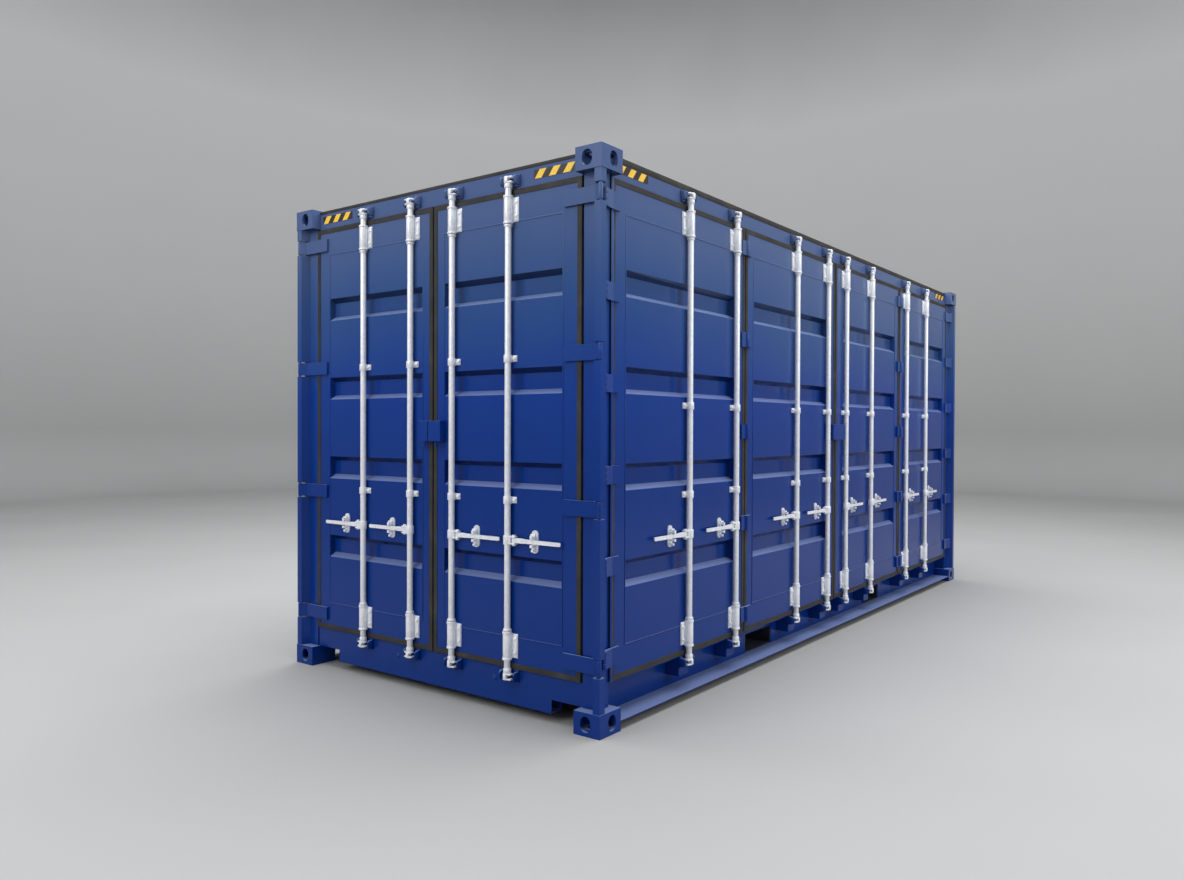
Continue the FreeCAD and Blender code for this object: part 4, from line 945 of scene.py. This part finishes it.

# %% [markdown]
# ## Corner stripes and sealed roof edge
#
# Three slanted yellow stripes on a black strip mark each end of the two door headers.
# Along the top of each door header a dark rubber bead is put where the roof's edge casts only shade: a painted
# shadow line.
# Where the roof sheet meets the headers, a dark bead of sealant closes the joint.

# %% Stripes and the painted shadow line at the roof edge
STRIP_LOW, STRIP_TALL, STRIP_LONG = 2.806, 0.046, 0.290
STRIPE_STARTS, STRIPE_WIDE, STRIPE_LEAN, STRIPE_STEP = 0.006, 0.046, 0.034, 0.094
STRIPE_MARGIN = 0.0005       # from a stripe's ends to the strip's edges
BLACK_PROUD, YELLOW_PROUD, YELLOW_SUNK = 0.0012, 0.0018, 0.0008
FROM_CORNER = 0.030


def strip_of_stripes():
    """A black strip from x = 0 and its three yellow stripes, their backs at y = 0."""
    back = block("black", (0, -BLACK_PROUD, 0), (STRIP_LONG, 0, STRIP_TALL), 0.0003, 1)
    stripes = []
    for number in range(3):
        start = STRIPE_STARTS + number * STRIPE_STEP
        stripe = block("yellow", (start, -YELLOW_PROUD, STRIPE_MARGIN),
                       (start + STRIPE_WIDE, -YELLOW_SUNK, STRIP_TALL - STRIPE_MARGIN), 0.0002, 1)
        bpy.ops.object.mode_set(mode="EDIT")
        pick(stripe, lambda middle, way: middle.z > STRIP_TALL * 0.9)
        bpy.ops.transform.translate(value=(STRIPE_LEAN, 0, 0))
        bpy.ops.object.mode_set(mode="OBJECT")
        stripes.append(stripe)
    return back, welded("yellows", stripes)


def corner_stripes():
    black, yellow = strip_of_stripes()
    end_low, end_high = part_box("end_door_header")
    side_low, side_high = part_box("side_door_header")
    spots = [((end_low.x, end_high.y - FROM_CORNER, STRIP_LOW), -1),
             ((end_low.x, end_low.y + FROM_CORNER + STRIP_LONG, STRIP_LOW), -1),
             ((side_low.x + FROM_CORNER, side_low.y, STRIP_LOW), 0),
             ((side_high.x - FROM_CORNER - STRIP_LONG, side_low.y, STRIP_LOW), 0)]
    for model, name, finish in ((black, "corner_strips", BLACK_FILM),
                                (yellow, "corner_stripes", YELLOW_FILM)):
        copies = [stood(model, "copy", spot, turns) for spot, turns in spots]
        declare(welded(name, copies), "frame", "paint", [], finish)
        print(name, "at", len(spots), "corners")
    put_away(black, yellow)


def roof_edge_shadow_line():
    """A dark bead along the top of each door header, a painted shadow line under the roof's edge; the side one
    runs deeper.
    """
    proud, sunk, over, under_end, under_side = 0.002, 0.010, 0.006, 0.014, 0.028
    end_low, end_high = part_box("end_door_header")
    side_low, side_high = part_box("side_door_header")
    along_end = block("bead", (end_low.x - proud, end_low.y, end_high.z - under_end),
                      (end_low.x + sunk, end_high.y, end_high.z + over), 0.003)
    along_side = block("bead", (side_low.x, side_low.y - proud, side_high.z - under_side),
                       (side_high.x, side_low.y + sunk, side_high.z + over), 0.003)
    shadow_bead = smooth(welded("roof_edge_painted_shadow", [along_end, along_side]))
    # the painted shadow line takes the dark rubber finish
    declare(shadow_bead, "frame", "seal_rubber", [], RUBBER)


corner_stripes()
roof_edge_shadow_line()

# %% [markdown]
# ## Knuckles of the side hinges
#
# The folding doors hang on the corner posts by stout barrel hinges.  Each barrel is
# three knuckles on one pin, with thin gaps between them.  The frame's barrel is plain,
# so three short chamfered sleeves are slipped over it.

# %% Knuckles
HINGE_ROW = [0.370 + 0.456 * number for number in range(6)]      # heights of one post's hinges
BARREL_RADIUS = 0.013
KNUCKLE_OUTER, KNUCKLE_INNER = 0.0152, 0.0128
KNUCKLE_TALL, KNUCKLE_STEP = 0.027, 0.031


def knuckles():
    low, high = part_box("side_post_hinges")
    x, y = high.x - BARREL_RADIUS, low.y + BARREL_RADIUS
    half = KNUCKLE_TALL / 2
    trio = smooth(welded("trio", [sleeve("knuckle", middle - half, middle + half,
                                         KNUCKLE_OUTER, KNUCKLE_INNER, 16)
                                  for middle in (-KNUCKLE_STEP, 0, KNUCKLE_STEP)]))
    copies = [stood(trio, "copy", (side * x, y, height))
              for side in (-1, 1) for height in HINGE_ROW]
    put_away(trio)
    declare(welded("side_hinge_knuckles", copies), "frame", "paint", [], ENAMEL)
    print("knuckles on", len(copies), "hinges")


knuckles()

# %% [markdown]
# ## Small fittings
#
# Two round studs on the end sill, each on a square washer plate, take a tie-down.
# Below each half of the lock box a tongue hangs down with a small knob at its end.  A
# thin cover plate closes the joint between each side corner post and the door gasket.

# %% Studs and lock box tongues
STUD_LINES, STUD_HEIGHT = (0.311, -0.469), 0.165
STUD_RADIUS, WASHER_HALF = 0.011, 0.018


def studs():
    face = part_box("end_door_sill")[0].x
    parts = []
    for y in STUD_LINES:
        parts.append(round_bar("stud", (face - 0.005, y, STUD_HEIGHT), STUD_RADIUS, 0.007,
                               axis="x", sides=16, round_off=0.002))
        parts.append(block("washer", (face - 0.001, y - WASHER_HALF, STUD_HEIGHT - WASHER_HALF),
                           (face + 0.002, y + WASHER_HALF, STUD_HEIGHT + WASHER_HALF), 0.0008))
    declare(smooth(welded("sill_studs", parts)), "frame", "paint", [], ENAMEL)


def tongues():
    for side in ("right", "left"):
        low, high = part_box("end_lock_box_" + side)
        middle = (low.y + high.y) / 2
        tongue = block("tongue", (low.x + 0.010, middle - 0.008, low.z - 0.028),
                       (low.x + 0.018, middle + 0.008, low.z + 0.004), 0.003)
        knob = round_bar("knob", (low.x + 0.014, middle, low.z - 0.034), 0.006, 0.010, sides=12)
        piece = smooth(welded("lock_tongue_" + side, [tongue, knob]))
        declare(piece, side + "_leaf", "paint", [], ENAMEL)


studs()
tongues()
print("studs at y =", STUD_LINES)

# %% Post covers
COVER_OUT, COVER_IN = 0.010, 0.012           # from the gasket's edge to the plate's two edges
COVER_FRONT, COVER_BACK = 0.0018, 0.0003     # in front of the gasket's face


def post_covers():
    sill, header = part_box("side_door_sill")[1].z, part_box("side_door_header")[0].z
    seal_low, seal_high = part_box("side_seals")
    for name, edge, way in (("near", seal_low.x, 1), ("far", seal_high.x, -1)):
        first, last = sorted((edge - way * COVER_OUT, edge + way * COVER_IN))
        plate = block("post_cover_" + name, (first, seal_low.y - COVER_FRONT, sill),
                      (last, seal_low.y - COVER_BACK, header), 0.0005)
        declare(smooth(plate), "frame", "paint", [], ENAMEL)
    print("covers stand", round(header - sill, 3), "m tall")


post_covers()

# %% [markdown]
# ## The floor, the backdrop and the light
#
# A pale floor runs up into a wide round cove, so that the container stands in an
# even grey space.  Big soft lamps overhead and in front give the enamel its broad
# sheen and only a faint shadow on the floor.

# %% Backdrop
COVE_RADIUS, COVE_HEIGHT = 16.0, 16.0


def paper_with_painted_light():
    """Matt backdrop paper, painted lighter up the wall where the lamps give less light, and darker again near its
    top as painted shade in the top of the cove.
    """
    material, shader, place = started("paper_with_painted_light")
    cloud = add(shader, "TexNoise", {"Vector": place, "Scale": 0.35, "Detail": 2.0})["Fac"]
    height = add(shader, "SeparateXYZ", {"Vector": place})["Z"]
    rise = add(shader, "Math", {0: cloud, 1: 0.8, 2: height},
               [("operation", "MULTIPLY_ADD")])["Value"]
    share = add(shader, "MapRange", {"Value": rise, "From Max": COVE_HEIGHT})["Result"]
    # painted light up the wall and painted shade near its top
    tint = add(shader, "ValToRGB", {"Fac": share},
               stops=[(0.0, "#919191"), (0.05, "#9c9c9c"), (0.35, "#b8b8b8"),
                      (0.65, "#cacaca"), (0.95, "#808080")])["Color"]
    wire(shader, {"Base Color": tint, "Roughness": 0.8})
    return material


def studio():
    """A round floor whose rim is extruded up, and the corner between rounded."""
    bpy.ops.object.select_all(action="DESELECT")
    bpy.ops.mesh.primitive_circle_add(vertices=96, radius=COVE_RADIUS, fill_type="NGON",
                                      location=(2, 2, 0))
    cove = settle(bpy.context.object)
    cove.name = "studio_cove"
    bpy.ops.object.mode_set(mode="EDIT")
    bpy.ops.mesh.select_mode(type="EDGE")
    bpy.ops.mesh.select_all(action="SELECT")
    bpy.ops.mesh.region_to_loop()
    bpy.ops.mesh.extrude_region_move(TRANSFORM_OT_translate={"value": (0, 0, COVE_HEIGHT)})
    pick_edges(cove, lambda middle, way: middle.z < 0.01)
    bpy.ops.mesh.bevel(offset=1.5, segments=10, affect="EDGES")
    bpy.ops.mesh.select_all(action="SELECT")
    bpy.ops.mesh.normals_make_consistent(inside=True)
    bpy.ops.object.mode_set(mode="OBJECT")
    cove.data.materials.append(paper_with_painted_light())
    smooth(cove, 60)


studio()
print("cove is", COVE_RADIUS, "m in radius")

# %% Lamps and sky
def lamp(name, spot, target, size, watts):
    """A square soft lamp that looks at a target, itself unseen."""
    light = bpy.data.objects.new(name, bpy.data.lights.new(name, "AREA"))
    light.data.size = size
    light.data.energy = watts
    light.visible_camera = False
    light.location = spot
    light.rotation_euler = (Vector(target) - Vector(spot)).to_track_quat("-Z", "Y").to_euler()
    bpy.context.scene.collection.objects.link(light)


lamp("overhead", (0, 0, 10), (0, 0, 0), 10, 1600)
lamp("end_door_light", (-11, 1.5, 6.5), (-3, 0, 1.4), 6, 420)
lamp("side_door_light", (0.5, -12, 6.5), (0, -1.2, 1.4), 7, 520)
world = bpy.data.worlds.new("soft_sky")
bpy.context.scene.world = world
world.use_nodes = True
wire(world.node_tree.nodes["Background"], {"Color": colour("#f2f3f5"), "Strength": 1.3})
print(len(bpy.data.lights), "soft lamps and an even sky")
